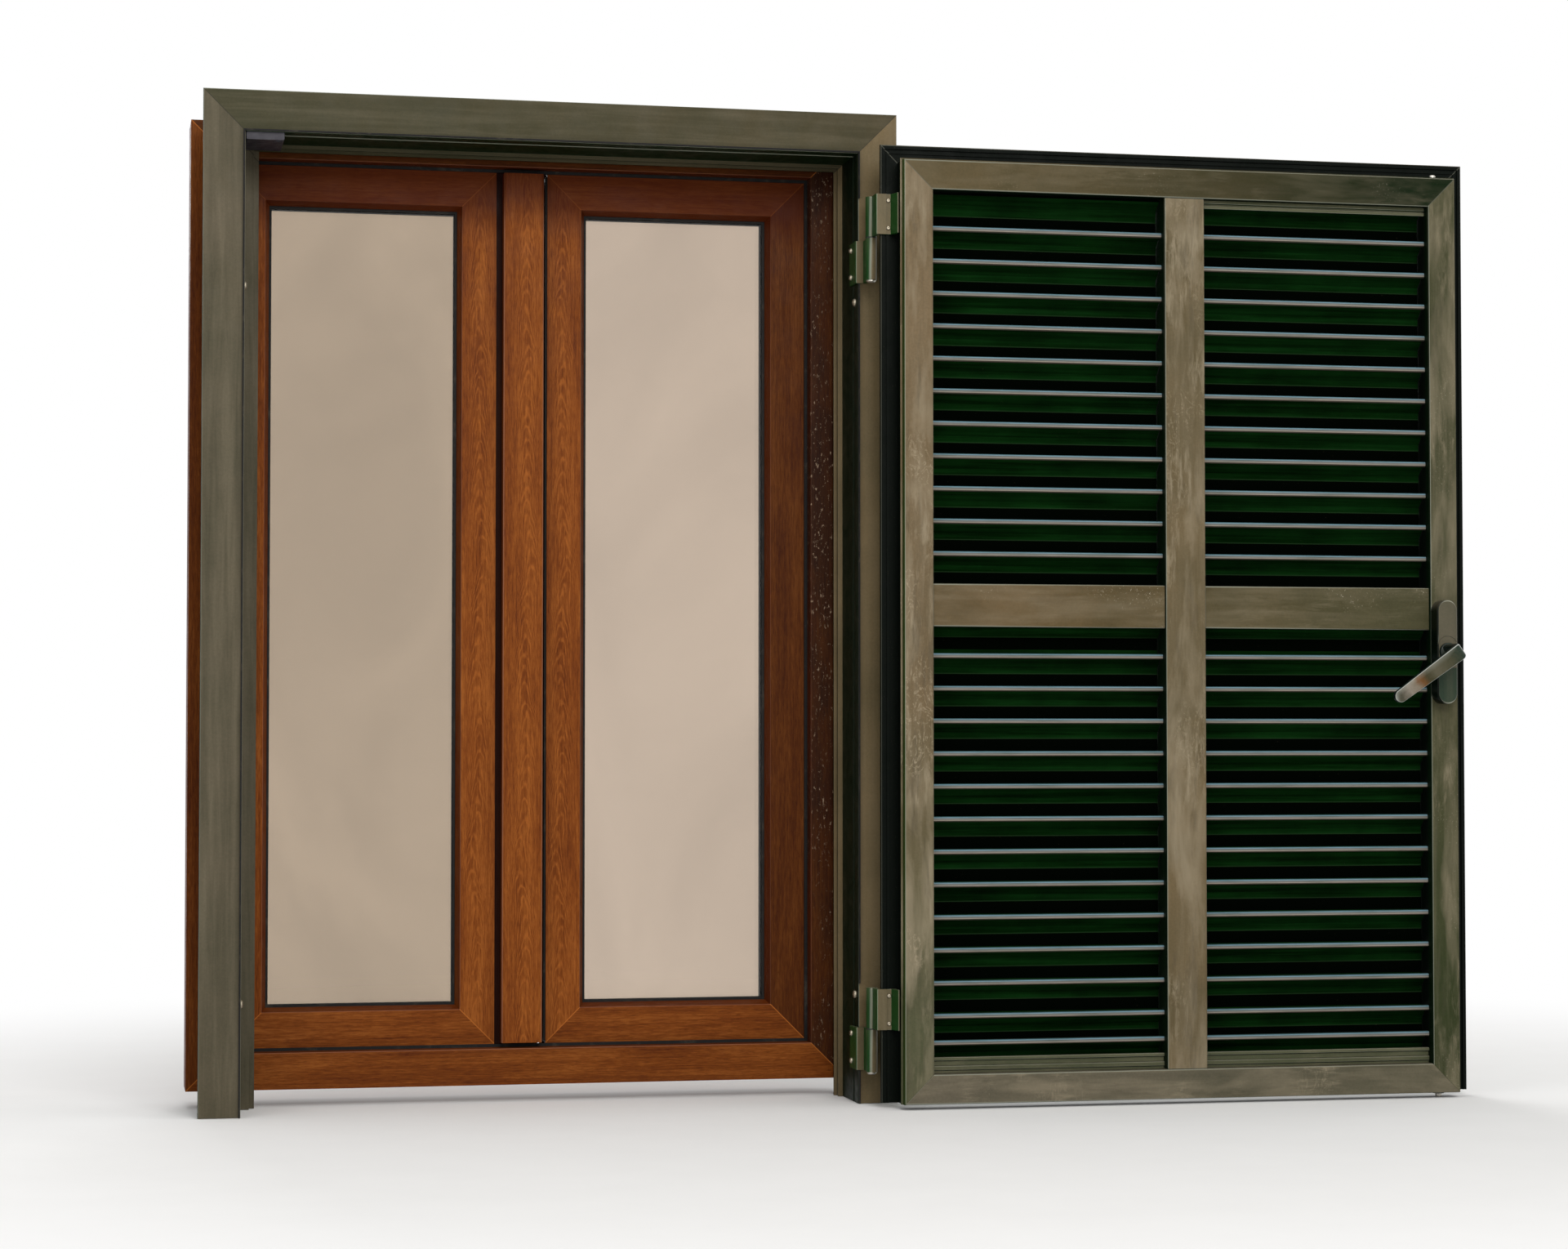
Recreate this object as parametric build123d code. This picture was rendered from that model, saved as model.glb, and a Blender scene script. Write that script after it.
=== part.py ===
# Outward-opening louvred shutter in its own three-sided frame, with the two-sash
# inward-opening window behind it. Millimetres. +X to the right seen from outside,
# -Y to the outside, +Z up. The origin is the middle of the underside of the window
# frame's bottom rail. The shutter leaf is modelled open, folded flat to its right.
import os
from math import sqrt

from build123d import *

# The opening that the shutter frame leaves clear drives the window behind it too
opening_w = 735.0  # clear width between the jambs
opening_h = 1150.0  # clear height above the feet

# Window frame and where the shutter frame stands to it
window_wider = 69.0  # window frame's outside width beyond the opening's
window_taller = 11.0  # its outside height beyond the opening's
window_depth = 68.0
window_sight = 44.0  # sight width of the frame from outside
window_tube = 26.0  # width of the frame's deep part, behind the lip
window_lip_depth = 20.0  # thickness of the lip that the sashes close against
window_wall = 3.0  # profile wall of the frame and the sashes
joint_seal = 10.5  # shutter frame's back to window frame's face
sill_step = 20.0  # shutter frame's feet stand this much lower
shutter_shift = 25.5  # shutter opening's middle, to the right of the window's

# Sashes
sash_setback = 24.0  # sash face behind the window frame's face
sash_depth = 60.0
sash_overlap = 6.0  # sash body behind the frame's lip
sash_flange = 20.0  # inner flange beyond the sash body
sash_flange_gap = 0.8
sash_sight = 42.0  # sash face that shows between gasket and glazing
sash_splay = 5.0  # width of the sloped edge down to the glass
meeting_gap = 31.5  # middle of the window to the edge of each meeting stile
glass_pane = 4.0
glass_space = 16.0
glass_setback = 18.0  # outer pane behind the sash face
glazing_rebate = 15.0
gasket_sight = 3.0
sash_cover = 4.0  # gasket and gap between the frame's lip and the sash face that shows
bead_seat = 4.0  # outer gasket's thickness
glazing_lip = 2.0
pane_edge = 2.0  # clearance round the panes
spacer_w = 11.0
inner_gasket_t = 1.2
bead_slope = (3.0, 5.0)  # flat foot of a glazing bead, and its slope
gasket_root = (10.0, 9.0)  # width of the outer and inner glazing gaskets under the profile
stop_gasket_root = 7.0
stop_gasket_tip = 3.5
stop_gasket_gap = 0.3
astragal_w = 50.0
astragal_setback = 4.0
astragal_cap = 12.0
astragal_round = 3.0
astragal_stem = 20.0
astragal_neck = 12.0  # length of the stem between cap and post
post_clear = 9.5  # post to the other sash's meeting stile
meeting_lip = 2.5
meeting_lip_h = 6.0

# Shutter frame
face_w = 49.0
frame_depth = 97.5
frame_wall = 2.0
fin_w = 12.0  # plaster fin outside the tube
fin_hook = 6.0
ridge_depth = 22.0  # small ridge along the rebate side
ridge_size = 0.8
stop_back = 14.0  # front of the deep stop lips before the frame's back
stop_wall = 2.5
stop_lips = {"left": (13.5, 20.0), "top": (4.5, 7.0), "right": (6.0, 8.5)}
lip_gasket = (0.8, 2.4, 3.6)  # edges from the opening, and height off the face
seal_edges = (4.0, 16.0)  # edges of the joint seal from the opening
fixing_r = 3.25
fixing_depth = 14.5
fixing_ends = (130.0, 180.0)  # fixing holes above the feet and under the head

# Shutter leaf
leaf_clear = 6.0  # leaf above the frame's feet
leaf_t = 36.0
member_w = 36.0  # room-side width of stiles and rails
leaf_wall = 2.0
leaf_round = 2.0  # long edges at the room side
flange_w = 21.5  # overlap flange beyond the room-side face
flange_t = 3.0
bead_w = 5.0
bead_t = 5.0
seal_gap = 4.0  # flange bead to frame face when shut
side_overlap = 4.5  # flange over the jambs when shut
head_overlap = 2.0  # flange over the head when shut
rib_gap = 2.5  # gasket groove between bead and rib
rib_w = 3.0
rib_drop = 0.6  # rib below the bead
tube_nib = (2.4, 9.0, 11.0)  # small nib on the tube's flank: height, and depths from the face
muntin_w = 51.0
muntin_set = 0.6
mid_rail_h = 52.0
mid_rail_lift = 29.75  # mid rail above the leaf's middle
mid_rail_set = 3.0
mid_rail_t = 29.5
slat_pitch = 39.0
slat_first = (44.5, 34.0)  # first nose under the top rail, and under the mid rail
slat_end = 15.0  # least height of a nose above the mid rail
slat_last_rise = 35.4  # last nose above the bottom rail
slat_last_gap = 27.0  # least step down to that last slat
slat_nose = 6.4
slat_recess = 11.0  # nose behind the room-side face
slat_wall = 1.8
slat_drop = 15.6  # fall of the blade from nose to outer lip
slat_lip = 38.5  # nose centre down to the end of the outer lip
slat_inset = 1.2  # outer lip inside the leaf's outer face
slat_nose_r = 2.4
slat_nose_back = 6.5  # depth of the rolled nose
end_clear = 0.2
starter_root = 20.0  # depth of the starter slat's edge under a rail
starter_flat = 4.0
starter_drop = 10.5
ridge_r = 0.8  # rounded ridges of the filler strips
filler_steps = (2.5, 8.0, 14.0, 18.5)  # heights of the bottom filler's ridges
filler_tail = (20.0, 8.0)  # depth and height of its back edge
strip_steps = (3.4, 6.4, 10.0)  # depths of the top strip's ridges

# Hinges between shutter frame and leaf
hinge_out = 29.5  # pin axis in front of the frame face
hinge_side = 9.9  # pin axis beyond the opening's edge
barrel_r = 6.75
pin_r = 3.75
pin_cap = 2.5
running = 0.05
frame_half_h = 50.9
leaf_half_h = 48.5
washer_t = 1.2
washer_rim = 0.4
hinge_ends = (92.0, 107.0)  # joint between the halves, above the feet and under the head
arm_t = 4.3
arm_inset = 3.7  # arm's far side from the pin axis
plate_t = 3.2
wrap_depth = 10.0  # frame half's return down the rebate side
clamp_depth = 20.0
bead_lap = 6.5  # leaf half's plate over the flange bead
clamp_flat = 5.6  # where the leaf clamp's screws sit
clamp_set = 1.2  # leaf clamp below the plate
clamp_reach = (17.0, 18.5, 14.0)  # its sloped edge: start, end, depth from the leaf's face
frame_screw = (3.5, 2.6, 1.2)  # head radius, height and bevel
leaf_screw = (2.6, 2.0, 0.8)
hinge_screw_pitch = 33.0

# Shutter handle and bolts
handle_drop = 53.0  # pivot under the mid rail's middle
handle_w = 26.0
handle_h = 127.0
handle_t = 20.0
handle_bevel = 1.6
handle_shift = 3.8  # housing off the stile's middle, towards the louvres
cover_joint = 19.5  # joints of the housing's covers, above and below the pivot
joint_groove = 0.7
lever_len = 103.0  # pivot to tip
lever_root_w = 20.0
lever_tip_w = 15.5
lever_t = 6.5
lever_out = 42.0  # front of the lever before the housing
lever_bend = 8.0  # outer radius where the lever bends back to the housing
lever_angle = 35.0  # below the horizontal, at rest
lever_bevel = 1.2
neck_t = 9.0
rotor_r = 11.0
rotor_t = 4.0
spindle_r = 7.5
spindle_seat = 8.0
bolt_r = 4.0
bolt_rest = 6.2  # bolt end beyond the leaf at rest
bolt_start = 14.0  # inner end of each bolt from the pivot
bolt_depth = 18.0  # bolt axis behind the room-side face
guide_r = 6.0
guide_collar_r = 7.0
guide_flange = 2.0
guide_depth = 6.0
keeper_w = 44.0
keeper_h = 9.0
keeper_d = 75.0
keeper_set = (1.0, 2.0)  # from the jamb, and behind the frame's face
keeper_hole_r = 4.6

# Inside handle and sash hinges
inner_handle_drop = 60.5  # under the window's middle
inner_plate = (28.0, 140.0, 10.0)
inner_lever_len = 118.0
inner_neck_r = 6.5
inner_neck_len = 34.0
sash_axis_out = 10.0  # sash hinge axis beyond the flange edge
sash_axis_in = 8.0  # and behind the window frame's inner face
sash_barrel_r = 6.5
sash_pin_r = 3.5
sash_half_h = 38.0
sash_hinge_ends = (150.0, 151.0)  # above the underside and under the top
sash_plate_w = 12.0
sash_plate_t = 2.5
sash_plate_in = 4.0  # plates' ends inside the hinge axis
rose_round = 5.0
rose_bevel = 2.0
inner_seat = 8.0  # depth of the neck in the rose
inner_grip_w = 16.0
inner_grip_t = 9.0
inner_bevel = 2.0

# Worked out once for everything below
window_w = opening_w + window_wider
window_h = opening_h + window_taller
reveal_depth = frame_depth + joint_seal
window_front = -window_depth / 2
window_back = window_depth / 2
face_y = window_front - reveal_depth
foot_z = -sill_step
soffit_z = foot_z + opening_h
open_x0 = shutter_shift - opening_w / 2
open_x1 = shutter_shift + opening_w / 2
sash_y = window_front + sash_setback
sash_back = sash_y + sash_depth
outer_pane_y = sash_y + glass_setback
inner_pane_y = outer_pane_y + glass_pane + glass_space
glass_back = inner_pane_y + glass_pane
axis_y = face_y - hinge_out
shut_outer = face_y - seal_gap - bead_t
axis_x = open_x1 + hinge_side
leaf_x0 = 2 * axis_x - (open_x1 + side_overlap)  # flange edge next to the hinges
leaf_x1 = leaf_x0 + opening_w + 2 * side_overlap
leaf_back = 2 * axis_y - shut_outer
leaf_y = leaf_back - leaf_t
leaf_z0 = foot_z + leaf_clear
leaf_z1 = soffit_z + head_overlap
handle_x = leaf_x1 - flange_w - member_w / 2 - handle_shift
leaf_top = leaf_z1 - flange_w
mid_rail_z = (leaf_z0 + leaf_top) / 2 + mid_rail_lift
handle_z = mid_rail_z - handle_drop
inner_handle_z = window_h / 2 - inner_handle_drop
stop_depth = frame_depth - stop_back
fixing_heights = (foot_z + fixing_ends[0], soffit_z - fixing_ends[1])
hinge_splits = (foot_z + hinge_ends[0], soffit_z - hinge_ends[1])
sash_hinge_heights = (sash_hinge_ends[0], window_h - sash_hinge_ends[1])
reach = face_w + sash_sight  # longer than any profile is wide


def profile(points, *holes):
    """A face from corner points (x, y) or (x, y, rounding radius), less its holes."""
    face = make_face(Polyline(*[point[:2] for point in points], close=True))
    for corner in points:
        if len(corner) == 3:
            face = fillet(face.vertices().sort_by_distance((corner[0], corner[1], 0))[0], corner[2])
    for hole in holes:
        face -= profile(hole)
    return face


def box_points(x0, x1, y0, y1, radius=None):
    """The four corners of a rectangle, rounded or square."""
    corners = [(x0, y0), (x1, y0), (x1, y1), (x0, y1)]
    return [(x, y, radius) for x, y in corners] if radius else corners


def slab(face, front, back):
    """A face drawn in (x, z), carried from y = front to y = back."""
    plane = Plane(origin=(0, back, 0), x_dir=(1, 0, 0), z_dir=(0, -1, 0))
    return extrude(plane * face, amount=back - front, dir=(0, -1, 0))


def prism(points, front, back):
    """The same from corner points."""
    return slab(profile(points), front, back)


def column(face, low, high):
    """A plan outline carried from z = low to z = high."""
    return extrude(Pos(0, 0, low) * face, amount=high - low, dir=(0, 0, 1))


def crossbar(face, x0, x1):
    """A (y, z) section carried from x0 to x1."""
    plane = Plane(origin=(x0, 0, 0), x_dir=(0, 1, 0), z_dir=(1, 0, 0))
    return extrude(plane * face, amount=x1 - x0, dir=(1, 0, 0))


def rod(radius, centre, length, axis="z"):
    """A round bar that starts at its centre point and runs along +X, +Y or +Z."""
    directions = {"x": (1, 0, 0), "y": (0, 1, 0), "z": (0, 0, 1)}
    plane = Plane(origin=centre, z_dir=directions[axis])
    return extrude(plane * Circle(radius), amount=length, dir=directions[axis])


def bar(side, rect, face):
    """A (u, y) section carried along one side of a rectangle; u runs inwards."""
    x0, x1, z0, z1 = rect
    start, inward, ahead, length = {
        "left": ((x0, 0, z0), (1, 0, 0), (0, 0, 1), z1 - z0),
        "right": ((x1, 0, z1), (-1, 0, 0), (0, 0, -1), z1 - z0),
        "top": ((x0, 0, z1), (0, 0, -1), (1, 0, 0), x1 - x0),
        "bottom": ((x1, 0, z0), (0, 0, 1), (-1, 0, 0), x1 - x0),
    }[side]
    return extrude(Plane(origin=start, x_dir=inward, z_dir=ahead) * face, amount=length, dir=ahead)


def mitre(side, rect):
    """The outline that a side keeps when both of its ends are cut at 45 degrees."""
    x0, x1, z0, z1 = rect
    r = reach
    return {
        "left": [(x0, z0), (x0, z1), (x0 + r, z1 - r), (x0 + r, z0 + r)],
        "right": [(x1, z0), (x1, z1), (x1 - r, z1 - r), (x1 - r, z0 + r)],
        "top": [(x0, z1), (x1, z1), (x1 - r, z1 - r), (x0 + r, z1 - r)],
        "bottom": [(x0, z0), (x1, z0), (x1 - r, z0 + r), (x0 + r, z0 + r)],
    }[side]


def cut_to(solid, outline):
    """Keep what lies inside an XZ outline."""
    box = solid.bounding_box()
    return solid & prism(outline, box.min.Y - 1, box.max.Y + 1)


def ring(rect, face):
    """The four mitred members of a rectangular frame, by side."""
    sides = ("left", "right", "top", "bottom")
    return {side: cut_to(bar(side, rect, face), mitre(side, rect)) for side in sides}


def save(name, *solids):
    """Write one sub-part; several loose pieces of a kind share a file."""
    shapes = []
    for solid in solids:
        shapes.extend(solid.solids())
    shape = shapes[0] if len(shapes) == 1 else Compound(children=shapes)
    shape.label = name
    export_step(shape, f"parts/{name}.step")


# Shutter frame: two jambs and a head, mitred at the top, square on the sill


def shutter_frame_section(side):
    """Face with plaster fin, a two-chamber tube and two stop lips at the deep end."""
    lip, deep_lip = stop_lips[side]
    y = face_y
    outline = [
        (0, y, 1.0),
        (face_w, y, 1.5),
        (face_w, y + ridge_depth - ridge_size),
        (face_w + ridge_size, y + ridge_depth),
        (face_w, y + ridge_depth + ridge_size),
        (face_w, y + stop_depth),
        (face_w + lip, y + stop_depth),
        (face_w + lip, y + stop_depth + stop_wall),
        (face_w, y + stop_depth + stop_wall),
        (face_w, y + frame_depth - stop_wall),
        (face_w + deep_lip, y + frame_depth - stop_wall),
        (face_w + deep_lip, y + frame_depth),
        (fin_w, y + frame_depth),
        (fin_w, y + frame_wall),
        (frame_wall, y + frame_wall),
        (frame_wall, y + fin_hook),
        (0, y + fin_hook),
    ]
    inside = (fin_w + frame_wall, face_w - frame_wall)
    web = y + frame_depth / 2
    front_chamber = box_points(*inside, y + frame_wall, web - frame_wall / 2)
    back_chamber = box_points(*inside, web + frame_wall / 2, y + frame_depth - frame_wall)
    return profile(outline, front_chamber, back_chamber)


shutter_rect = (open_x0 - face_w, open_x1 + face_w, foot_z, soffit_z + face_w)
head_reach = face_w + stop_lips["top"][1]
gx0, gx1, gz0, gz1 = shutter_rect
jamb_outlines = {
    "left": [(gx0, gz0), (gx0, gz1), (gx0 + head_reach, gz1 - head_reach),
             (gx0 + reach, gz1 - head_reach), (gx0 + reach, gz0)],
    "right": [(gx1, gz0), (gx1, gz1), (gx1 - head_reach, gz1 - head_reach),
              (gx1 - reach, gz1 - head_reach), (gx1 - reach, gz0)],
}
jambs = {}
for side, outline in jamb_outlines.items():
    jambs[side] = cut_to(bar(side, shutter_rect, shutter_frame_section(side)), outline)
    for height in fixing_heights:
        start = gx0 if side == "left" else gx1 - face_w - 1
        jambs[side] -= rod(fixing_r, (start, face_y + fixing_depth, height), face_w + 1, "x")
head = cut_to(bar("top", shutter_rect, shutter_frame_section("top")), mitre("top", shutter_rect))

# Lip gasket round the opening, left out beside the hinges, and the seal that closes
# the joint between the shutter frame and the window frame
near, far, high = lip_gasket
gasket_face = profile(box_points(face_w - far, face_w - near, face_y - high, face_y))
gasket_runs = {
    side: cut_to(bar(side, shutter_rect, gasket_face), outline) for side, outline in jamb_outlines.items()
}
gasket_runs["top"] = cut_to(bar("top", shutter_rect, gasket_face), mitre("top", shutter_rect))
for split in hinge_splits:
    gap_z = frame_half_h + washer_t
    x_mid = open_x1 + face_w / 2
    gasket_runs["right"] -= prism(box_points(x_mid - face_w, x_mid, split - gap_z, split + gap_z),
                                  face_y - seal_gap, face_y + 1)
seal_face = profile(
    box_points(face_w - seal_edges[1], face_w - seal_edges[0], face_y + frame_depth, window_front)
)
seal_runs = [
    cut_to(bar(side, (*shutter_rect[:2], 0, shutter_rect[3]), seal_face),
           mitre(side, shutter_rect) if side == "top" else jamb_outlines[side])
    for side in ("left", "right", "top")
]

# Keeper for the upper bolt, in the rebate's top corner away from the hinges
bolt_x = handle_x
bolt_y = leaf_y + bolt_depth
shut_bolt = (2 * axis_x - bolt_x, 2 * axis_y - bolt_y)
keeper_x0 = open_x0 + keeper_set[0]
keeper_y = face_y + keeper_set[1]
keeper = prism(
    box_points(keeper_x0, keeper_x0 + keeper_w, soffit_z - keeper_h, soffit_z), keeper_y, keeper_y + keeper_d
)
keeper = fillet(keeper.edges().filter_by(Axis.Y).sort_by(Axis.Z)[:2], 1.5)
keeper -= rod(keeper_hole_r, (*shut_bolt, soffit_z - keeper_h - 1), keeper_h + 1)
keeper -= head

save("shutter_frame_jamb_left", jambs["left"])
save("shutter_frame_jamb_right", jambs["right"])
save("shutter_frame_head", head)
save("shutter_frame_gaskets", *gasket_runs.values(), *seal_runs)
save("bolt_keeper", keeper)

# Hinges: the lower half clamps on the frame's edge, the upper half in the leaf's channel


def hinge_half(arm, low, high):
    """An arm with its knuckle, bored for the pin."""
    knuckle = Pos(axis_x, axis_y) * Circle(barrel_r)
    bore = Pos(axis_x, axis_y) * Circle(pin_r + running)
    return column(profile(arm) + knuckle - bore, low, high)


arm_x = axis_x - arm_inset
frame_arm = [
    (open_x1 - plate_t, face_y + wrap_depth), (open_x1, face_y + wrap_depth), (open_x1, face_y),
    (arm_x + arm_t, face_y), (arm_x + arm_t, axis_y), (arm_x, axis_y),
    (arm_x, face_y - plate_t), (open_x1 - plate_t, face_y - plate_t, 1.5),
]
bead_y = leaf_back - bead_t
leaf_arm_x = 2 * axis_x - arm_x
pad_x = leaf_x0 + bead_lap
leaf_arm = [
    (leaf_arm_x - arm_t, bead_y - plate_t, 1.5), (pad_x, bead_y - plate_t), (pad_x, bead_y),
    (leaf_arm_x, bead_y), (leaf_arm_x, axis_y), (leaf_arm_x - arm_t, axis_y),
]
channel_y = leaf_back - flange_t
wedge_y = leaf_y + clamp_reach[2]
clamp_y = bead_y - plate_t + clamp_set
rib_end = leaf_x0 + bead_w + rib_gap + rib_w
leaf_wedge = [
    (pad_x, clamp_y), (pad_x + clamp_flat, clamp_y), (leaf_x0 + clamp_reach[0], wedge_y),
    (leaf_x0 + clamp_reach[1], wedge_y), (leaf_x0 + clamp_reach[1], channel_y),
    (rib_end + end_clear, channel_y), (rib_end + end_clear, bead_y), (pad_x, bead_y),
]
frame_clamp = box_points(open_x1 - plate_t, open_x1, face_y + wrap_depth, face_y + wrap_depth + clamp_depth)
pins, washers, frame_clamps, leaf_clamps, frame_screws, leaf_screws = [], [], [], [], [], []
for name, split in zip(("lower", "upper"), hinge_splits):
    low = split - washer_t / 2 - frame_half_h
    high = split + washer_t / 2 + leaf_half_h
    save(f"hinge_frame_half_{name}", hinge_half(frame_arm, low, split - washer_t / 2))
    save(f"hinge_leaf_half_{name}", hinge_half(leaf_arm, split + washer_t / 2, high))
    shank = rod(pin_r, (axis_x, axis_y, low), high - low)
    cap = rod(barrel_r - 1, (axis_x, axis_y, low - pin_cap), pin_cap)
    pins.append(shank + chamfer(cap.edges().sort_by(Axis.Z)[0], pin_cap / 2))
    ring_face = Circle(barrel_r + washer_rim) - Circle(pin_r + running)
    washers.append(column(Pos(axis_x, axis_y) * ring_face, split - washer_t / 2, split + washer_t / 2))
    frame_clamps.append(column(profile(frame_clamp), low, split - washer_t / 2) - jambs["right"])
    leaf_clamps.append(column(profile(leaf_wedge), split + washer_t / 2, high))
    for offset in (-hinge_screw_pitch / 2, hinge_screw_pitch / 2):
        frame_mid = (low + split) / 2 + offset
        leaf_mid = (high + split) / 2 + offset
        radius, thickness, bevel = frame_screw
        head_at = (open_x1 - plate_t - thickness, face_y + wrap_depth + clamp_depth / 2, frame_mid)
        screw = rod(radius, head_at, thickness, "x")
        frame_screws.append(chamfer(screw.edges().sort_by(Axis.X)[0], bevel))
        radius, thickness, bevel = leaf_screw
        screw = rod(radius, (pad_x + clamp_flat / 2, clamp_y - thickness, leaf_mid), thickness, "y")
        leaf_screws.append(chamfer(screw.edges().sort_by(Axis.Y)[0], bevel))
save("hinge_pins", *pins)
save("hinge_washers", *washers)
save("hinge_frame_clamps", *frame_clamps)
save("hinge_leaf_clamps", *leaf_clamps)
save("hinge_frame_screws", *frame_screws)
save("hinge_leaf_screws", *leaf_screws)

# Shutter leaf: flanged stiles and top rail, plain bottom rail, muntin, mid rails, slats

leaf_rect = (leaf_x0, leaf_x1, leaf_z0, leaf_z1)
tube = (flange_w, flange_w + member_w)
hollow = box_points(tube[0] + leaf_wall, tube[1] - leaf_wall, leaf_y + leaf_wall, leaf_back - leaf_wall)
rib = (bead_w + rib_gap, bead_w + rib_gap + rib_w)
rib_y = bead_y + rib_drop
nib_x = tube[0] - tube_nib[0]
nib_y = (leaf_y + tube_nib[1], leaf_y + tube_nib[2])
flanged = profile(
    [
        (tube[0], leaf_y, leaf_round), (tube[1], leaf_y, leaf_round), (tube[1], leaf_back), (0, leaf_back, 1.0),
        (0, bead_y, 1.5), (bead_w, bead_y), (bead_w, channel_y), (rib[0], channel_y),
        (rib[0], rib_y), (rib[1], rib_y), (rib[1], channel_y), (tube[0], channel_y),
        (tube[0], nib_y[1]), (nib_x, nib_y[1]), (nib_x, nib_y[0]), (tube[0], nib_y[0]),
    ],
    hollow,
)
plain = profile(
    [(0, leaf_y, leaf_round), (member_w, leaf_y, leaf_round), (member_w, leaf_back), (0, leaf_back)],
    box_points(leaf_wall, member_w - leaf_wall, leaf_y + leaf_wall, leaf_back - leaf_wall),
)
x0, x1, z0, z1 = leaf_rect
foot = reach - flange_w
stile_outline = [(x0, z0), (x0, z1), (x0 + reach, z1 - reach), (x0 + reach, z0 + foot), (x0 + flange_w, z0)]
mirror_x = x0 + x1
stiles = {
    "hinge": cut_to(bar("left", leaf_rect, flanged), stile_outline),
    "lock": cut_to(bar("right", leaf_rect, flanged), [(mirror_x - x, z) for x, z in stile_outline]),
}
top_rail = cut_to(bar("top", leaf_rect, flanged), mitre("top", leaf_rect))
bottom_rect = (x0 + flange_w, x1 - flange_w, z0, z1)
bottom_rail = cut_to(bar("bottom", bottom_rect, plain), mitre("bottom", bottom_rect))
rail_top = z0 + member_w
head_z = leaf_top - member_w
inner_x0 = x0 + flange_w + member_w
inner_x1 = x1 - flange_w - member_w
leaf_mid = (x0 + x1) / 2
muntin_x = (leaf_mid - muntin_w / 2, leaf_mid + muntin_w / 2)


def tube_face(across, front, back):
    """A rounded rectangular tube section with the leaf's wall."""
    a, b = across
    outer = [(a, front, leaf_round), (b, front, leaf_round), (b, back), (a, back)]
    return profile(outer, box_points(a + leaf_wall, b - leaf_wall, front + leaf_wall, back - leaf_wall))


muntin = column(tube_face(muntin_x, leaf_y + muntin_set, leaf_back - muntin_set), rail_top, head_z)
panels = {"left": (inner_x0, muntin_x[0]), "right": (muntin_x[1], inner_x1)}
mid_low = mid_rail_z - mid_rail_h / 2
mid_high = mid_rail_z + mid_rail_h / 2
mid_front = leaf_y + mid_rail_set
mid_section = profile(
    [(mid_front, mid_low, leaf_round), (mid_front, mid_high, leaf_round), (mid_front + mid_rail_t, mid_high),
     (mid_front + mid_rail_t, mid_low)],
    box_points(mid_front + leaf_wall, mid_front + mid_rail_t - leaf_wall, mid_low + leaf_wall, mid_high - leaf_wall),
)
mid_rails = {side: crossbar(mid_section, *panel) for side, panel in panels.items()}


def slat_section(nose_z, lip_end):
    """Rolled nose at the room side, blade falling outwards, lip hanging at the outer side."""
    front = leaf_y + slat_recess
    back = leaf_back - slat_inset
    half = slat_nose / 2
    nose_back = front + slat_nose_back
    fall = slat_drop / (back - nose_back)
    under = slat_wall * sqrt(1 + fall ** 2)
    inner = back - slat_wall
    start = nose_back + slat_wall
    return profile([
        (front, nose_z - half, slat_nose_r), (front, nose_z + half, slat_nose_r), (nose_back, nose_z + half),
        (back, nose_z + half - slat_drop), (back, lip_end), (inner, lip_end),
        (inner, nose_z + half - fall * (inner - nose_back) - under),
        (start, nose_z + half - fall * (start - nose_back) - under), (nose_back, nose_z - half),
    ])


def slats(panel, heights, floor):
    """The slats of one panel, clear of the rail under the last one."""
    span = (panel[0] + end_clear, panel[1] - end_clear)
    return [crossbar(slat_section(z, max(z - slat_lip, floor + end_clear)), *span) for z in heights]


def noses(first, lowest):
    """Heights of the noses from the first one down, one pitch apart."""
    return [first - slat_pitch * i for i in range(int((first - lowest) / slat_pitch) + 1)]


first_upper = head_z - slat_first[0]
first_lower = mid_low - slat_first[1]
last_nose = rail_top + slat_last_rise
upper_noses = noses(first_upper, mid_high + slat_end)
lower_noses = noses(first_lower, last_nose + slat_last_gap) + [last_nose]


def starter_section(under_z, first_nose):
    """Half slat that hangs under a rail and closes the first gap, down to the first slat."""
    back = leaf_back - slat_inset
    inner = back - slat_wall
    root = leaf_y + starter_root
    lip_end = first_nose + slat_pitch - slat_lip
    return profile([
        (root, under_z), (root + starter_flat, under_z), (back, under_z - starter_drop), (back, lip_end),
        (inner, lip_end), (inner, under_z - starter_drop - slat_wall), (root, under_z - slat_wall),
    ])


def bottom_filler_section():
    """Two-ridged profile between the bottom rail and the last slat."""
    front = leaf_y + slat_recess
    low, shelf, step, top = [rail_top + height for height in filler_steps]
    back, tail = front + filler_tail[0], rail_top + filler_tail[1]
    neck = front + slat_wall
    return profile([
        (neck, rail_top), (neck, low), (front, low + 1, ridge_r), (front, shelf, ridge_r),
        (neck + 1, shelf + 1), (neck + 1, step), (front, step + 1, ridge_r), (front, top, ridge_r),
        (front + slat_nose_back, top), (back, tail), (back, rail_top),
    ])


def top_filler_section():
    """Two-ridged strip under the top rail."""
    front = leaf_y + slat_recess
    upper, lower, end = [head_z - depth for depth in strip_steps]
    neck = front + slat_wall
    back = front + slat_nose_back
    return profile([
        (front, head_z), (front, upper, ridge_r), (neck, upper - 1), (neck, lower + 1), (front, lower, ridge_r),
        (front, end, ridge_r), (back, end), (back + slat_wall, head_z),
    ])


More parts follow.
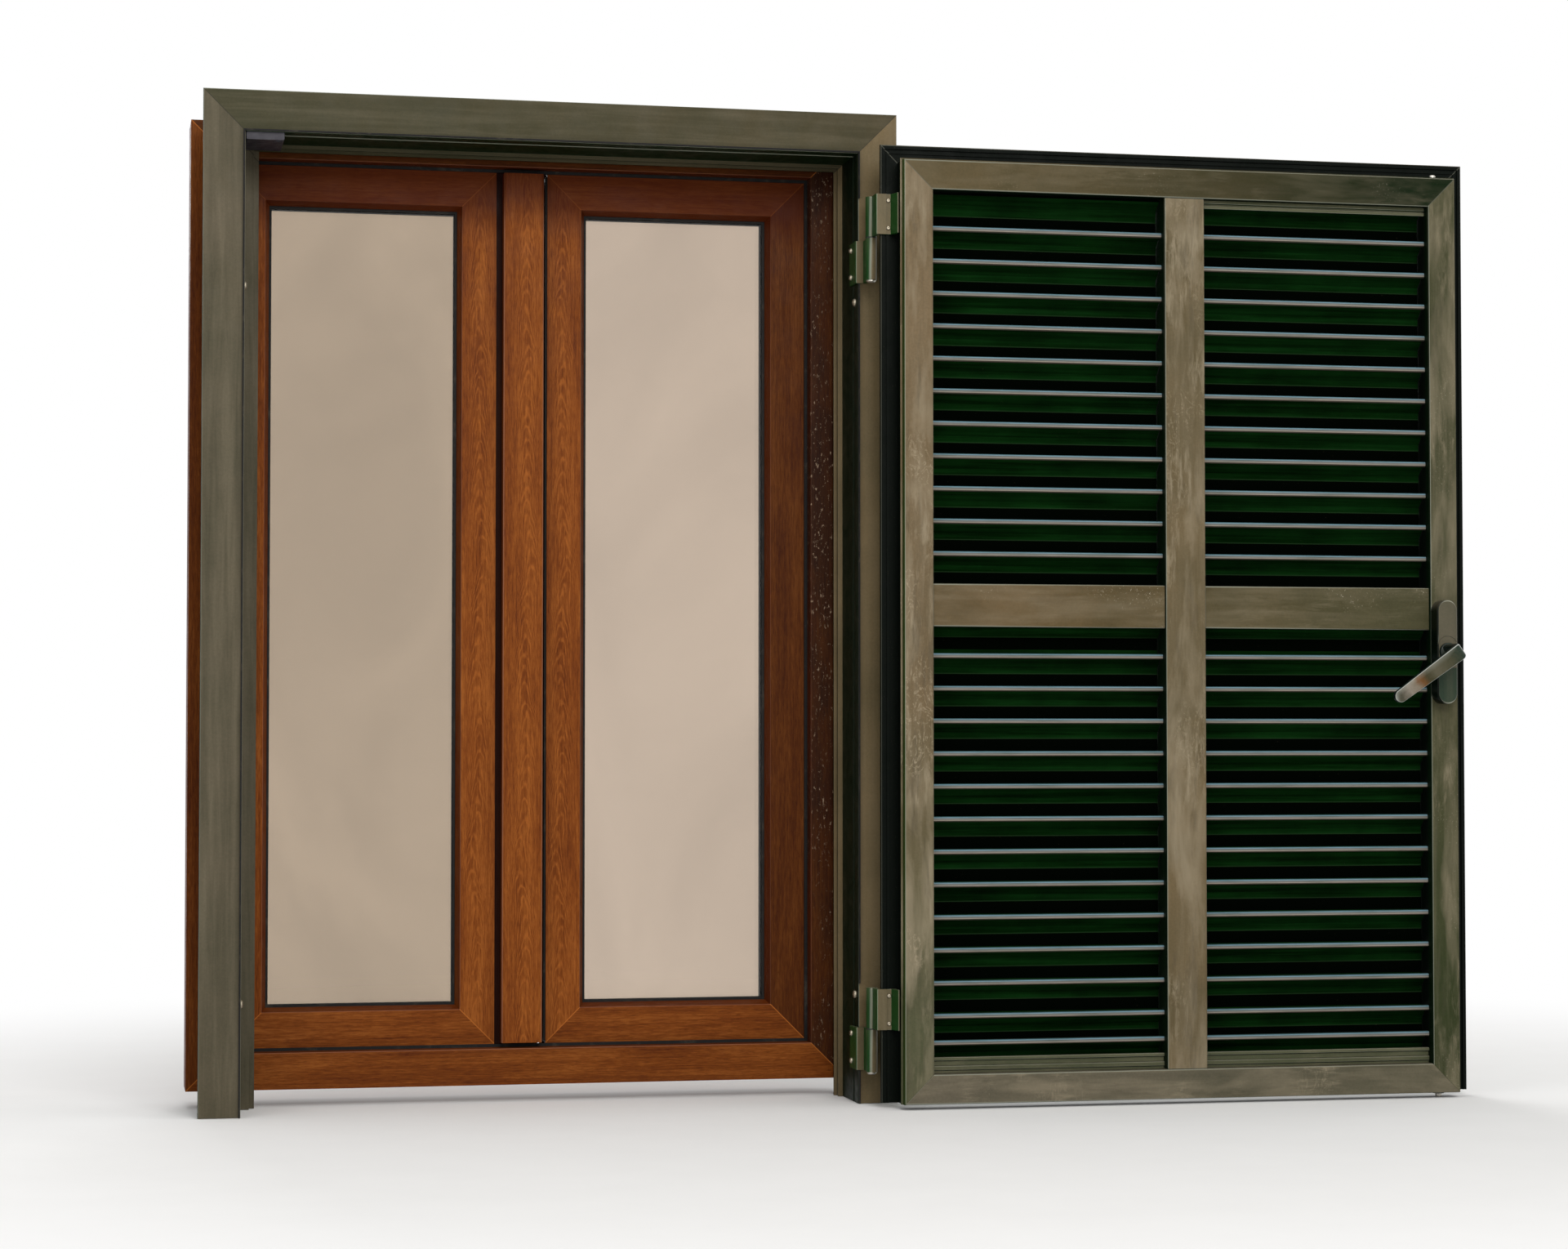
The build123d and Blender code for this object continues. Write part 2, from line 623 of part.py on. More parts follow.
starters = []
for panel in panels.values():
    span = (panel[0] + end_clear, panel[1] - end_clear)
    starters.append(crossbar(starter_section(head_z, first_upper), *span))
    starters.append(crossbar(starter_section(mid_low, first_lower), *span))
fillers = [crossbar(bottom_filler_section(), p[0] + end_clear, p[1] - end_clear) for p in panels.values()]
right_panel = panels["right"]
fillers.append(crossbar(top_filler_section(), right_panel[0] + end_clear, right_panel[1] - end_clear))

# Bolt guides: flanged bushes in the top and bottom rails, and the holes they sit in
guides = []
for edge, step in ((leaf_top, 1), (leaf_z0, -1)):
    inner_end = edge - step * guide_depth
    low, high = sorted((inner_end, edge))
    sleeve = rod(guide_r, (bolt_x, bolt_y, low), high - low)
    collar_low = edge if step > 0 else edge - guide_flange
    collar = rod(guide_collar_r, (bolt_x, bolt_y, collar_low), guide_flange)
    passage = rod(bolt_r + running, (bolt_x, bolt_y, low - guide_depth), high - low + 2 * guide_depth)
    guides.append(sleeve + collar - passage)
top_rail -= rod(guide_r, (bolt_x, bolt_y, leaf_top - leaf_wall - 1), leaf_wall + 2)
bottom_rail -= rod(guide_r, (bolt_x, bolt_y, leaf_z0 - 1), leaf_wall + 2)

save("shutter_stile_hinge_side", stiles["hinge"])
save("shutter_stile_lock_side", stiles["lock"])
save("shutter_rail_top", top_rail)
save("shutter_rail_bottom", bottom_rail)
save("shutter_muntin", muntin)
for side, panel in panels.items():
    save(f"shutter_mid_rail_{side}", mid_rails[side])
    save(f"slats_upper_{side}", *slats(panel, upper_noses, mid_high))
    save(f"slats_lower_{side}", *slats(panel, lower_noses, rail_top))
save("slat_starters", *starters)
save("slat_fillers", *fillers)
save("bolt_guides", *guides)

# Shutter handle: housing on the lock stile, cranked lever, two bolts inside the stile


housing_front = leaf_y - handle_t
at_pivot = Pos(handle_x, handle_z)
housing = slab(at_pivot * SlotOverall(handle_h, handle_w, rotation=90), housing_front, leaf_y)
housing = chamfer(housing.faces().sort_by(Axis.Y)[0].edges(), handle_bevel)
housing -= rod(spindle_r + running, (handle_x, housing_front - 1, handle_z), spindle_seat + 1, "y")
arc_r = handle_w / 2
arc_joint = Circle(arc_r) - Circle(arc_r - joint_groove) - Pos(0, -arc_r) * Rectangle(handle_w, handle_w)
line_joint = Rectangle(handle_w, joint_groove)
for joint, lift in ((arc_joint, cover_joint - arc_r), (line_joint, -cover_joint)):
    housing -= slab(at_pivot * Pos(0, lift) * joint, housing_front - 1, housing_front + joint_groove)

# The lever is a tapered strip, bent back at a right angle to its rotor
lever_front = housing_front - lever_out
lever_back = lever_front + lever_t
rotor_front = housing_front - rotor_t - end_clear
tip_x = handle_x - lever_len
neck_x = (handle_x - neck_t / 2, handle_x + neck_t / 2)
strip_side = profile([
    (tip_x, lever_front), (neck_x[1], lever_front, lever_bend), (neck_x[1], rotor_front),
    (neck_x[0], rotor_front), (neck_x[0], lever_back, lever_bend - lever_t), (tip_x, lever_back),
])
half_tip = lever_tip_w / 2
half_root = lever_root_w / 2
strip_plan = profile([
    (tip_x + half_tip, handle_z - half_tip), (neck_x[1], handle_z - half_root),
    (neck_x[1], handle_z + half_root), (tip_x + half_tip, handle_z + half_tip),
]) + Pos(tip_x + half_tip, handle_z) * Circle(half_tip)
lever = column(strip_side, handle_z - half_root, handle_z + half_root) & slab(strip_plan, lever_front, rotor_front)
lever = chamfer(lever.faces().sort_by(Axis.Y)[0].edges().filter_by(Axis.Z, reverse=True), lever_bevel)
lever += rod(rotor_r, (handle_x, rotor_front, handle_z), rotor_t, "y")
lever += rod(spindle_r, (handle_x, rotor_front, handle_z), rotor_t + spindle_seat, "y")
lever = lever.rotate(Axis((handle_x, 0, handle_z), (0, -1, 0)), lever_angle)

rod_top = leaf_top + bolt_rest
rod_bottom = leaf_z0 - bolt_rest
upper_bolt = rod(bolt_r, (bolt_x, bolt_y, handle_z + bolt_start), rod_top - handle_z - bolt_start)
lower_bolt = rod(bolt_r, (bolt_x, bolt_y, rod_bottom), handle_z - bolt_start - rod_bottom)
upper_bolt = chamfer(upper_bolt.edges().sort_by(Axis.Z)[-1], 1.0)
lower_bolt = chamfer(lower_bolt.edges().sort_by(Axis.Z)[0], 1.0)

save("shutter_handle_housing", housing)
save("shutter_handle_lever", lever)
save("upper_bolt", upper_bolt)
save("lower_bolt", lower_bolt)

# Window frame: four mitred members with a lip that the sashes close against

half_w = window_w / 2
window_rect = (-half_w, half_w, 0, window_h)
lip_back = window_front + window_lip_depth
w = window_wall
window_section = profile(
    [(0, window_front), (window_sight, window_front, 1.5), (window_sight, lip_back, 1.0), (window_tube, lip_back),
     (window_tube, window_back), (0, window_back)],
    box_points(w, window_sight - w, window_front + w, lip_back - w),
    box_points(w, window_tube - w, lip_back, window_back - w),
)
window_members = ring(window_rect, window_section)
stop_gasket = profile(box_points(
    window_sight - stop_gasket_root, window_sight + stop_gasket_tip, lip_back, sash_y - stop_gasket_gap
))
window_gasket = ring(window_rect, stop_gasket)
for side, name in (("top", "head"), ("bottom", "bottom_rail"), ("left", "jamb_left"), ("right", "jamb_right")):
    save(f"window_frame_{name}", window_members[side])
save("window_frame_gasket", *window_gasket.values())

# Sashes. u is measured from the flange edge; the meeting stile starts later, at its own edge

body_edge = sash_flange
face_edge = body_edge + sash_overlap + sash_cover + sash_sight
splay_end = face_edge + sash_splay
leg_back = outer_pane_y - bead_seat
leg_front = leg_back - glazing_lip
chamber_edge = splay_end - 1.5 * window_wall
bead_edge = splay_end - glazing_rebate
flange_edge = half_w - window_sight + sash_overlap + sash_flange
flange_front = window_back + sash_flange_gap
meeting_edge = body_edge + sash_overlap + sash_cover
glass_edge = bead_edge + pane_edge

sash_outline = [
    (0, flange_front), (0, sash_back, 2.0), (bead_edge, sash_back), (bead_edge, leg_back), (splay_end, leg_back),
    (splay_end, leg_front), (face_edge, sash_y, 1.0), (body_edge, sash_y), (body_edge, flange_front),
]
face_chamber = [
    (body_edge + w, sash_y + w), (face_edge - w, sash_y + w), (chamber_edge, leg_back - w),
    (body_edge + w, leg_back - w),
]
deep_chamber = [
    (body_edge + w, leg_back), (bead_edge - w, leg_back), (bead_edge - w, sash_back - w), (w, sash_back - w),
    (w, flange_front + w), (body_edge + w, flange_front + w),
]
perimeter_section = profile(sash_outline, face_chamber, deep_chamber)
m = meeting_edge
meeting_section = profile(
    [(m, sash_y), (m, sash_back, 1.0), (bead_edge, sash_back), (bead_edge, leg_back), (splay_end, leg_back),
     (splay_end, leg_front), (face_edge, sash_y, 1.0)],
    [(m + w, sash_y + w), (face_edge - w, sash_y + w), (chamber_edge, leg_back - w), (m + w, leg_back - w)],
    box_points(m + w, bead_edge - w, leg_back, sash_back - w),
)
sash_x0 = meeting_gap - meeting_edge
sash_rect = (sash_x0, flange_edge, window_sight - sash_overlap - sash_flange,
             window_h - window_sight + sash_overlap + sash_flange)
sx0, sx1, sz0, sz1 = sash_rect
rail_outlines = {
    "top": [(meeting_gap, sz1), (sx1, sz1), (sx1 - reach, sz1 - reach), (sx0 + reach, sz1 - reach),
            (meeting_gap, sz1 - meeting_edge)],
    "bottom": [(meeting_gap, sz0), (sx1, sz0), (sx1 - reach, sz0 + reach), (sx0 + reach, sz0 + reach),
               (meeting_gap, sz0 + meeting_edge)],
}
right_sash = {
    "stile_hinge_side": cut_to(bar("right", sash_rect, perimeter_section), mitre("right", sash_rect)),
    "stile_meeting": cut_to(bar("left", sash_rect, meeting_section), mitre("left", sash_rect)),
    "rail_top": cut_to(bar("top", sash_rect, perimeter_section), rail_outlines["top"]),
    "rail_bottom": cut_to(bar("bottom", sash_rect, perimeter_section), rail_outlines["bottom"]),
}
glass_rect = (sx0 + glass_edge, sx1 - glass_edge, sz0 + glass_edge, sz1 - glass_edge)
panes = [prism(box_points(*glass_rect), y, y + glass_pane) for y in (outer_pane_y, inner_pane_y)]
spacer_frames = []
for inset in (1.0, 1.0 + spacer_w):
    gl0, gl1, gl2, gl3 = glass_rect
    outline = box_points(gl0 + inset, gl1 - inset, gl2 + inset, gl3 - inset)
    spacer_frames.append(prism(outline, outer_pane_y + glass_pane, inner_pane_y))
spacer = spacer_frames[0] - spacer_frames[1]
bead_front = glass_back + inner_gasket_t
bead_foot, bead_fall = bead_slope
bead_section = profile([
    (bead_edge, bead_front), (splay_end, bead_front), (splay_end, bead_front + bead_foot),
    (splay_end - bead_fall, sash_back, 2.0), (bead_edge, sash_back),
])
gasket_end = splay_end + gasket_sight
outer_gasket = profile(box_points(splay_end - gasket_root[0], gasket_end, leg_back, outer_pane_y))
inner_gasket = profile(box_points(splay_end - gasket_root[1], gasket_end - 1, glass_back, bead_front))
bead_ring = ring(sash_rect, bead_section)
sash_gaskets = [*ring(sash_rect, outer_gasket).values(), *ring(sash_rect, inner_gasket).values()]
lip_z = (window_sight + sash_overlap, window_h - window_sight - sash_overlap)
lip_y = sash_y + glazing_lip
right_lip = column(
    profile(box_points(meeting_gap - meeting_lip, meeting_gap, lip_y, lip_y + meeting_lip_h)), *lip_z
)


def mirrored(solid):
    """The same piece on the other side of the window's middle."""
    return mirror(solid, about=Plane.YZ)


# Astragal: cap over the middle gap, on a full-height post that the left sash carries
half_cap = astragal_w / 2
cap_y = window_front + astragal_setback
stem_y = cap_y + astragal_cap
post_y = stem_y + astragal_neck
stem = astragal_stem / 2
post_x = meeting_gap - post_clear
astragal_z = (window_sight + sash_overlap, window_h - window_sight - sash_overlap - end_clear)
body_z = (window_sight - sash_overlap, window_h - window_sight + sash_overlap)
flange_z = (body_z[0] - sash_flange, body_z[1] + sash_flange)
cap = column(
    profile([(-half_cap, cap_y, astragal_round), (half_cap, cap_y, astragal_round), (half_cap, stem_y),
             (stem, stem_y), (stem, post_y), (-stem, post_y), (-stem, stem_y), (-half_cap, stem_y)]),
    *astragal_z,
)
post = column(
    profile(box_points(-meeting_gap, post_x, post_y, window_back),
            box_points(w - meeting_gap, post_x - w, post_y + w, window_back - w)),
    *body_z,
)
inner_post = column(profile(box_points(-meeting_gap, post_x, window_back, sash_back)), *body_z)
for low, high in ((flange_z[0], body_z[0]), (body_z[1], flange_z[1])):
    inner_post += column(profile(box_points(-meeting_gap, post_x, flange_front, sash_back)), low, high)
astragal = cap + post + inner_post
post_lip = column(
    profile(box_points(post_x, post_x + meeting_lip, post_y + post_clear, post_y + post_clear + meeting_lip_h)),
    *astragal_z,
)

for side, place in (("left", mirrored), ("right", lambda solid: solid)):
    for name, solid in right_sash.items():
        save(f"sash_{side}_{name}", place(solid))
    save(f"sash_{side}_glass", *[place(pane) for pane in panes])
    save(f"sash_{side}_spacer", place(spacer))
    save(f"sash_{side}_beads", *[place(bead) for bead in bead_ring.values()])
    extra = post_lip if side == "left" else right_lip
    save(f"sash_{side}_gaskets", *[place(run) for run in sash_gaskets], extra)
save("astragal", astragal)

# Sash hinges: a knuckle with its pin on the window frame, a bored knuckle on the sash

hinge_x = flange_edge + sash_axis_out
hinge_y = window_back + sash_axis_in
half_plate = sash_plate_w / 2
plate_in = hinge_x - sash_plate_in
frame_plate = box_points(hinge_x - half_plate, hinge_x + half_plate, window_back, window_back + sash_plate_t)
sash_plate = [
    (flange_edge, hinge_y - half_plate), (plate_in, hinge_y - sash_plate_in), (plate_in, hinge_y + sash_plate_in),
    (flange_edge, hinge_y + half_plate),
]
frame_parts, sash_parts = [], []
for height in sash_hinge_heights:
    knuckle = Pos(hinge_x, hinge_y) * Circle(sash_barrel_r)
    lower = column(profile(frame_plate) + knuckle, height - sash_half_h, height)
    pin = rod(sash_pin_r, (hinge_x, hinge_y, height), sash_half_h - sash_plate_in)
    frame_parts.append(lower + pin)
    upper = column(profile(sash_plate) + knuckle, height + 2 * end_clear, height + sash_half_h)
    bore = rod(sash_pin_r + running, (hinge_x, hinge_y, height), sash_half_h - sash_plate_in / 2)
    sash_parts.append(upper - bore)
save("sash_hinge_frame_parts", *frame_parts, *[mirrored(part) for part in frame_parts])
save("sash_right_hinges", *sash_parts)
save("sash_left_hinges", *[mirrored(part) for part in sash_parts])

# Inside handle on the right sash's meeting stile
inner_x = meeting_gap + (bead_edge - meeting_edge) / 2
plate_w, plate_h, plate_d = inner_plate
rose = prism(
    box_points(inner_x - plate_w / 2, inner_x + plate_w / 2, inner_handle_z - plate_h / 2,
               inner_handle_z + plate_h / 2, rose_round),
    sash_back, sash_back + plate_d,
)
rose = chamfer(rose.faces().sort_by(Axis.Y)[-1].edges(), rose_bevel)
seat_y = sash_back + plate_d - inner_seat
rose -= rod(inner_neck_r + running, (inner_x, seat_y, inner_handle_z), plate_d, "y")
grip_y = sash_back + plate_d + inner_neck_len
grip_top = inner_handle_z + inner_neck_r + inner_bevel
grip_end = inner_handle_z - inner_lever_len
half_grip = inner_grip_w / 2
neck_y = seat_y + running
inner_neck = rod(inner_neck_r, (inner_x, neck_y, inner_handle_z), grip_y - inner_grip_t / 2 - neck_y, "y")
inner_grip = prism(
    [(inner_x - half_grip, grip_top, half_grip / 2), (inner_x - half_grip, grip_end, half_grip - 1),
     (inner_x + half_grip, grip_end, half_grip - 1), (inner_x + half_grip, grip_top, half_grip / 2)],
    grip_y - inner_grip_t, grip_y,
)
inner_grip = chamfer(inner_grip.faces().sort_by(Axis.Y)[-1].edges(), inner_bevel)
save("window_handle_rose", rose)
save("window_handle_lever", inner_grip + inner_neck)
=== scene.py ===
"""Looks of the window with shutters: materials, small fasteners, camera, light and floor.

Lengths are in metres, in the frame's axes: +z is up and -y is the street side.
"""

from math import cos, pi, radians, sin

import bmesh
import bpy
from mathutils import Matrix, Vector


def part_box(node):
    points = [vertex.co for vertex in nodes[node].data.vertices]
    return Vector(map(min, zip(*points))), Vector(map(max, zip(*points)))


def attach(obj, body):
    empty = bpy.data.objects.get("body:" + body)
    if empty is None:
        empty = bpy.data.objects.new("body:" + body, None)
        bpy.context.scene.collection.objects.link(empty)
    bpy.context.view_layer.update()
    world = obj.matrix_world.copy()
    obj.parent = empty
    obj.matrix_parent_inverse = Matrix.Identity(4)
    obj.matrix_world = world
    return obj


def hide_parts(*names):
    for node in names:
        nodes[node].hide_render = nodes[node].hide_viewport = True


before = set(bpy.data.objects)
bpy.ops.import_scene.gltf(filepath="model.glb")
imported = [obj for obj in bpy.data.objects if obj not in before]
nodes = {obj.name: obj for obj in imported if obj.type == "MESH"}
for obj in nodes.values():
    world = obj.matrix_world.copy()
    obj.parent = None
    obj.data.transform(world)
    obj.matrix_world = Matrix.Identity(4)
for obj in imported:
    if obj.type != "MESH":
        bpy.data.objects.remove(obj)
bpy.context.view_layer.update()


# ---------------------------------------------------------------- colours

# The flank colours are painted shade on the sides of green parts that look away from the light.
FLANK = (0.0025, 0.013, 0.003)
LEAF_FLANK = (0.0012, 0.006, 0.0014)
STILE_FLANK = (0.018, 0.036, 0.004)
HINGE_FLANK = (0.007, 0.040, 0.006)
HOUSING_FLANK = (0.0008, 0.0030, 0.0010)
LEVER_FLANK = (0.002, 0.006, 0.004)
WEATHER_GREEN = (0.020, 0.052, 0.024)
# Painted highlights along rounded edges, on the coat and on the lever.
EDGE_LIGHT = (0.33, 0.34, 0.27)
LEVER_HIGHLIGHT = (0.42, 0.44, 0.40)
DUST = (0.30, 0.25, 0.17)
PALE_SPECK = (0.50, 0.45, 0.34)
# The overlap flange's painted shade, and painted highlight lines on its bead and rib.
FLANGE_SHADE = (0.0014, 0.0028, 0.0016)
FLANGE_BEAD = (0.042, 0.027, 0.027)
FLANGE_RIB = (0.140, 0.108, 0.074)
# Slats: painted shade low in each pitch, lit greens above it, and a painted highlight on the crease.
SLAT_SHADE = (0.0008, 0.0016, 0.0008)
SLAT_GREENS = ((0.0018, 0.013, 0.0018), (0.005, 0.034, 0.006))
CREASE_HIGHLIGHT = (0.020, 0.045, 0.018)
# A duller colour for patches of a slat nose's painted reflection.
DULL_NOSE = (0.035, 0.06, 0.04)
WOOD_DARK = (0.070, 0.011, 0.002)
WOOD_MID = (0.185, 0.047, 0.006)
WOOD_LIGHT = (0.320, 0.098, 0.016)
# The next three: painted shade on the wood, a painted highlight on rounded edges, painted shade in the
# groove.
WOOD_SHADE = (0.062, 0.009, 0.002)
WOOD_HIGHLIGHT = (0.42, 0.20, 0.12)
GROOVE_SHADE = (0.008, 0.001, 0.001)
GRIME = (0.008, 0.004, 0.003)
GRIME_SPOTS = (0.34, 0.24, 0.16)

# The lever's colours, by the share of the way from its tip to its pivot: painted reflection mixed with rust
# and wear
GRIP_TONES = (
    (0.10, (0.058, 0.055, 0.036)), (0.20, (0.230, 0.200, 0.160)), (0.29, (0.190, 0.156, 0.112)),
    (0.34, (0.130, 0.052, 0.010)), (0.44, (0.034, 0.030, 0.009)), (0.54, (0.084, 0.076, 0.046)),
    (0.72, (0.044, 0.044, 0.021)), (0.86, (0.006, 0.022, 0.013)),
)
# The painted reflections round a slat's rolled nose, from its underside to its top
NOSE_REFLECTIONS = (
    (0.0, (0.06, 0.05, 0.04)), (0.24, (0.36, 0.30, 0.25)), (0.42, (0.10, 0.12, 0.12)),
    (0.62, (0.20, 0.31, 0.38)), (1.0, (0.02, 0.07, 0.075)),
)

# ---------------------------------------------------------------- material building blocks

LIGHT_WAY = (0.43, -0.90)  # x and y of the direction of the painted light; faces that look this way get the lit colour
OUTWARD = (0.66, 0.86)  # light share where the painted flank shade ends, and where the lit face's colour is full
EDGE_END = (0.78, 0.895)  # light share where the painted highlight of a rounded edge fades, and where it ends
MITRE_REACH = 0.095  # how far a mitre line runs in from its corner, along x
MITRE_HALF = (0.0004, 0.0010)  # a mitre line's half width, where it starts to fade and where it ends


def along(axis, fine, coarse):
    """Scales for a texture that runs along one axis."""
    return tuple(coarse if letter == axis else fine for letter in "xyz")


def tinted(colour, factor):
    return tuple(factor * part for part in colour)


class Shader:
    """A node material with one Principled shader, and short calls for the nodes that feed it."""

    def __init__(self, name, **values):
        self.material = bpy.data.materials.new(name)
        self.material.use_nodes = True
        self.tree = self.material.node_tree
        self.tree.nodes.clear()
        self.output = self.tree.nodes.new("ShaderNodeOutputMaterial")
        self.surface = self.tree.nodes.new("ShaderNodeBsdfPrincipled")
        self.link(self.surface.outputs[0], self.output.inputs["Surface"])
        self.place = self.tree.nodes.new("ShaderNodeTexCoord").outputs["Object"]
        self.set(**values)

    def set(self, **values):
        """Sets or links the shader's sockets: roughness=0.4 is the socket Roughness."""
        for name, value in values.items():
            self.feed(self.surface.inputs[name.replace("_", " ").title().replace("Ior", "IOR")], value)
        return self

    def link(self, a, b):
        self.tree.links.new(a, b)

    def feed(self, socket, value):
        """A number or colour is written on the socket, and an output is linked to it."""
        if isinstance(value, bpy.types.NodeSocket):
            self.link(value, socket)
        elif isinstance(value, (tuple, list)) and len(value) == 3 and socket.type == "RGBA":
            socket.default_value = (*value, 1)
        else:
            socket.default_value = value

    def node(self, kind, inputs=(), **settings):
        made = self.tree.nodes.new("ShaderNode" + kind)
        for key, value in settings.items():
            setattr(made, key, value)
        for key, value in dict(inputs).items():
            self.feed(made.inputs[key], value)
        return made

    def math(self, operation, a, b=0.0):
        return self.node("Math", {0: a, 1: b}, operation=operation).outputs[0]

    def minus(self, a, b):
        return self.math("SUBTRACT", a, b)

    def absolute(self, value):
        return self.math("ABSOLUTE", value)

    def times(self, *factors):
        result = factors[0]
        for factor in factors[1:]:
            result = self.math("MULTIPLY", result, factor)
        return result

    def stretched(self, scale):
        """Object coordinates in metres, times one scale or a scale for each axis."""
        scales = scale if isinstance(scale, tuple) else (scale, scale, scale)
        return self.node("Mapping", {"Vector": self.place, "Scale": scales}).outputs[0]

    def noise(self, scale, detail=3.0, roughness=0.5, distortion=0.0):
        """Noise with `scale` features a metre, which may differ for each axis."""
        inputs = {
            "Vector": self.stretched(scale), "Scale": 1.0, "Detail": detail, "Roughness": roughness,
            "Distortion": distortion,
        }
        return self.node("TexNoise", inputs).outputs[0]

    def ramp(self, value, *stops):
        """A smooth map from the value to colours or greys: (position, colour), ..."""
        made = self.node("ValToRGB", {0: value})
        elements = made.color_ramp.elements
        for extra in range(len(stops) - 2):
            elements.new(0.5)
        for element, (position, colour) in zip(elements, stops):
            element.position = position
            grey = not isinstance(colour, tuple)
            element.color = (colour, colour, colour, 1) if grey else (*colour, 1)
        return made.outputs[0]

    def over(self, value, low, high):
        """0 where the value is under low, and 1 where it is over high."""
        return self.ramp(value, (low, 0.0), (high, 1.0))

    def scaled(self, value, low, high, to_low=0.0, to_high=1.0):
        """Maps low..high to to_low..to_high and stays inside it."""
        return self.node("MapRange", {0: value, 1: low, 2: high, 3: to_low, 4: to_high}).outputs[0]

    def falling(self, value, low, high, least=0.0):
        """1 where the value is under low, and `least` where it is over high."""
        return self.scaled(value, low, high, 1.0, least)

    def mix(self, share, a, b):
        """Colour a where share is 0 and b where it is 1."""
        made = self.node("Mix", data_type="RGBA")
        self.feed(made.inputs["Factor"], share)
        self.feed(made.inputs[6], a)
        self.feed(made.inputs[7], b)
        return made.outputs[2]

    def bump(self, height, depth, strength):
        """Relief `depth` metres high."""
        return self.node("Bump", {"Height": height, "Distance": depth, "Strength": strength}).outputs[0]

    def orange_peel(self, strength=0.5):
        """The fine relief of sprayed powder coat."""
        return self.bump(self.noise(420, 2.0, 0.4), 0.00004, strength)

    def axis(self, letter):
        """One object coordinate, in metres."""
        return self.node("SeparateXYZ", {0: self.place}).outputs[letter.upper()]

    def facing(self, letter):
        """One part of the surface's own direction, in the object's axes."""
        normal = self.node("TexCoord").outputs["Normal"]
        return self.node("SeparateXYZ", {0: normal}).outputs[letter.upper()]

    def lit_side(self):
        """Light share: 0.9 on faces that look to the street, and 0.43 or less on flanks and backs."""
        across, out = LIGHT_WAY
        return self.math("ADD", self.times(self.facing("y"), out), self.times(self.facing("x"), across))

    def rounded_edge(self, front, low, high):
        """1 on a rounded edge, where a painted highlight goes; low and high are where it starts, in light
        share.
        """
        return self.times(self.scaled(front, low, high), self.falling(front, *EDGE_END))

    def top_face(self):
        """1 on faces that look straight up, and 0 on those that look sideways or down."""
        return self.math("MAXIMUM", self.facing("z"), 0.0)

    def band(self, value, low, high, soft):
        """1 where low < value < high, falling off over `soft`."""
        return self.times(self.scaled(value, low - soft, low), self.falling(value, high, high + soft))

    def stripe(self, value, low, high):
        """A line along each place where the value is halfway between whole numbers."""
        from_middle = self.absolute(self.minus(self.math("FRACT", value), 0.5))
        return self.falling(from_middle, low, high)

    def mitre(self, x, z, slope):
        """1 on the joint line that runs through (x, z) at 45 degrees, up to the right where slope is 1."""
        across = self.minus(self.axis("x"), x)
        up = self.times(self.minus(self.axis("z"), z), float(slope))
        away = self.absolute(self.minus(across, up))
        near = self.falling(self.absolute(across), MITRE_REACH, MITRE_REACH + 0.001)
        return self.times(self.falling(away, *MITRE_HALF), near)

    def mitres(self, joints):
        """1 on any of the joint lines (x, z, slope)."""
        result, *others = [self.mitre(*joint) for joint in joints]
        for other in others:
            result = self.math("MAXIMUM", result, other)
        return result


# ---------------------------------------------------------------- powder coat

FLANGE_DEPTH = 0.018  # how far before its bead the overlap flange starts
FLANGE_FADE = 0.0005
LEVER_BAR_END = -0.2530  # y behind which the lever is its rotor, without a bright edge


def rubbed_marks(s, axis, colour, share):
    """Rubbed patches, pale scrapes and darker runs, drawn out along a member."""
    patch = s.over(s.noise(along(axis, 24, 6), 4.0, 0.6, 0.4), 0.46, 0.66)
    colour = s.mix(s.times(patch, 0.45 * share), colour, DUST)
    scrape = s.over(s.noise(along(axis, 130, 22), 5.0, 0.7, 0.3), 0.50, 0.66)
    zone = s.over(s.noise((15, 15, 11), 2.0, 0.5), 0.48, 0.62)
    colour = s.mix(s.times(scrape, zone, 0.40 * share), colour, tinted(DUST, 1.1))
    dark = s.over(s.noise(along(axis, 90, 12), 4.0, 0.65), 0.54, 0.68)
    return s.mix(s.times(dark, 0.30 * share), colour, tinted(DUST, 0.22))


def dried_drops(s, colour, share):
    """Broken pale rings, in a few places, where drops dried."""
    drops = s.noise(along("z", 60, 30), 3.0, 0.55, 0.7)
    ring = s.stripe(s.times(drops, 7.0), 0.03, 0.22)
    zone = s.over(s.noise((15, 15, 10), 2.0, 0.5), 0.56, 0.64)
    broken = s.over(s.noise(300, 3.0, 0.7), 0.40, 0.6)
    return s.mix(s.times(ring, zone, broken, 0.5 * share), colour, tinted(DUST, 1.35))


def bright_flecks(s, colour, share):
    """Small bright specks, in a few places."""
    spark = s.over(s.noise(420, 3.0, 0.65), 0.62, 0.68)
    zone = s.over(s.noise(10, 2.0, 0.5), 0.50, 0.66)
    return s.mix(s.times(spark, zone, share), colour, PALE_SPECK)


def weathered(s, cloud, streak, fleck):
    """The green of the faces that look away from the street."""
    colour = s.mix(s.times(cloud, 0.5), WEATHER_GREEN, tinted(WEATHER_GREEN, 0.6))
    return s.mix(s.times(streak, 0.06), s.mix(s.times(fleck, 0.2), colour, FLANK), DUST)


def flange_lines(s, colour, bead_y, outward, behind):
    """An overlap flange in painted shade, with painted highlights on its bead at bead_y and a rib beside it.
    """
    y = s.axis("y")
    bead = s.times(s.band(y, bead_y - 0.0004, bead_y + 0.0002, 0.0001), outward)
    rib = s.times(s.band(y, bead_y + 0.0004, bead_y + 0.0009, 0.0001), outward)
    colour = s.mix(behind, colour, FLANGE_SHADE)
    colour = s.mix(s.times(bead, 0.8), colour, FLANGE_BEAD)
    return s.mix(s.times(rib, 0.8), colour, FLANGE_RIB)


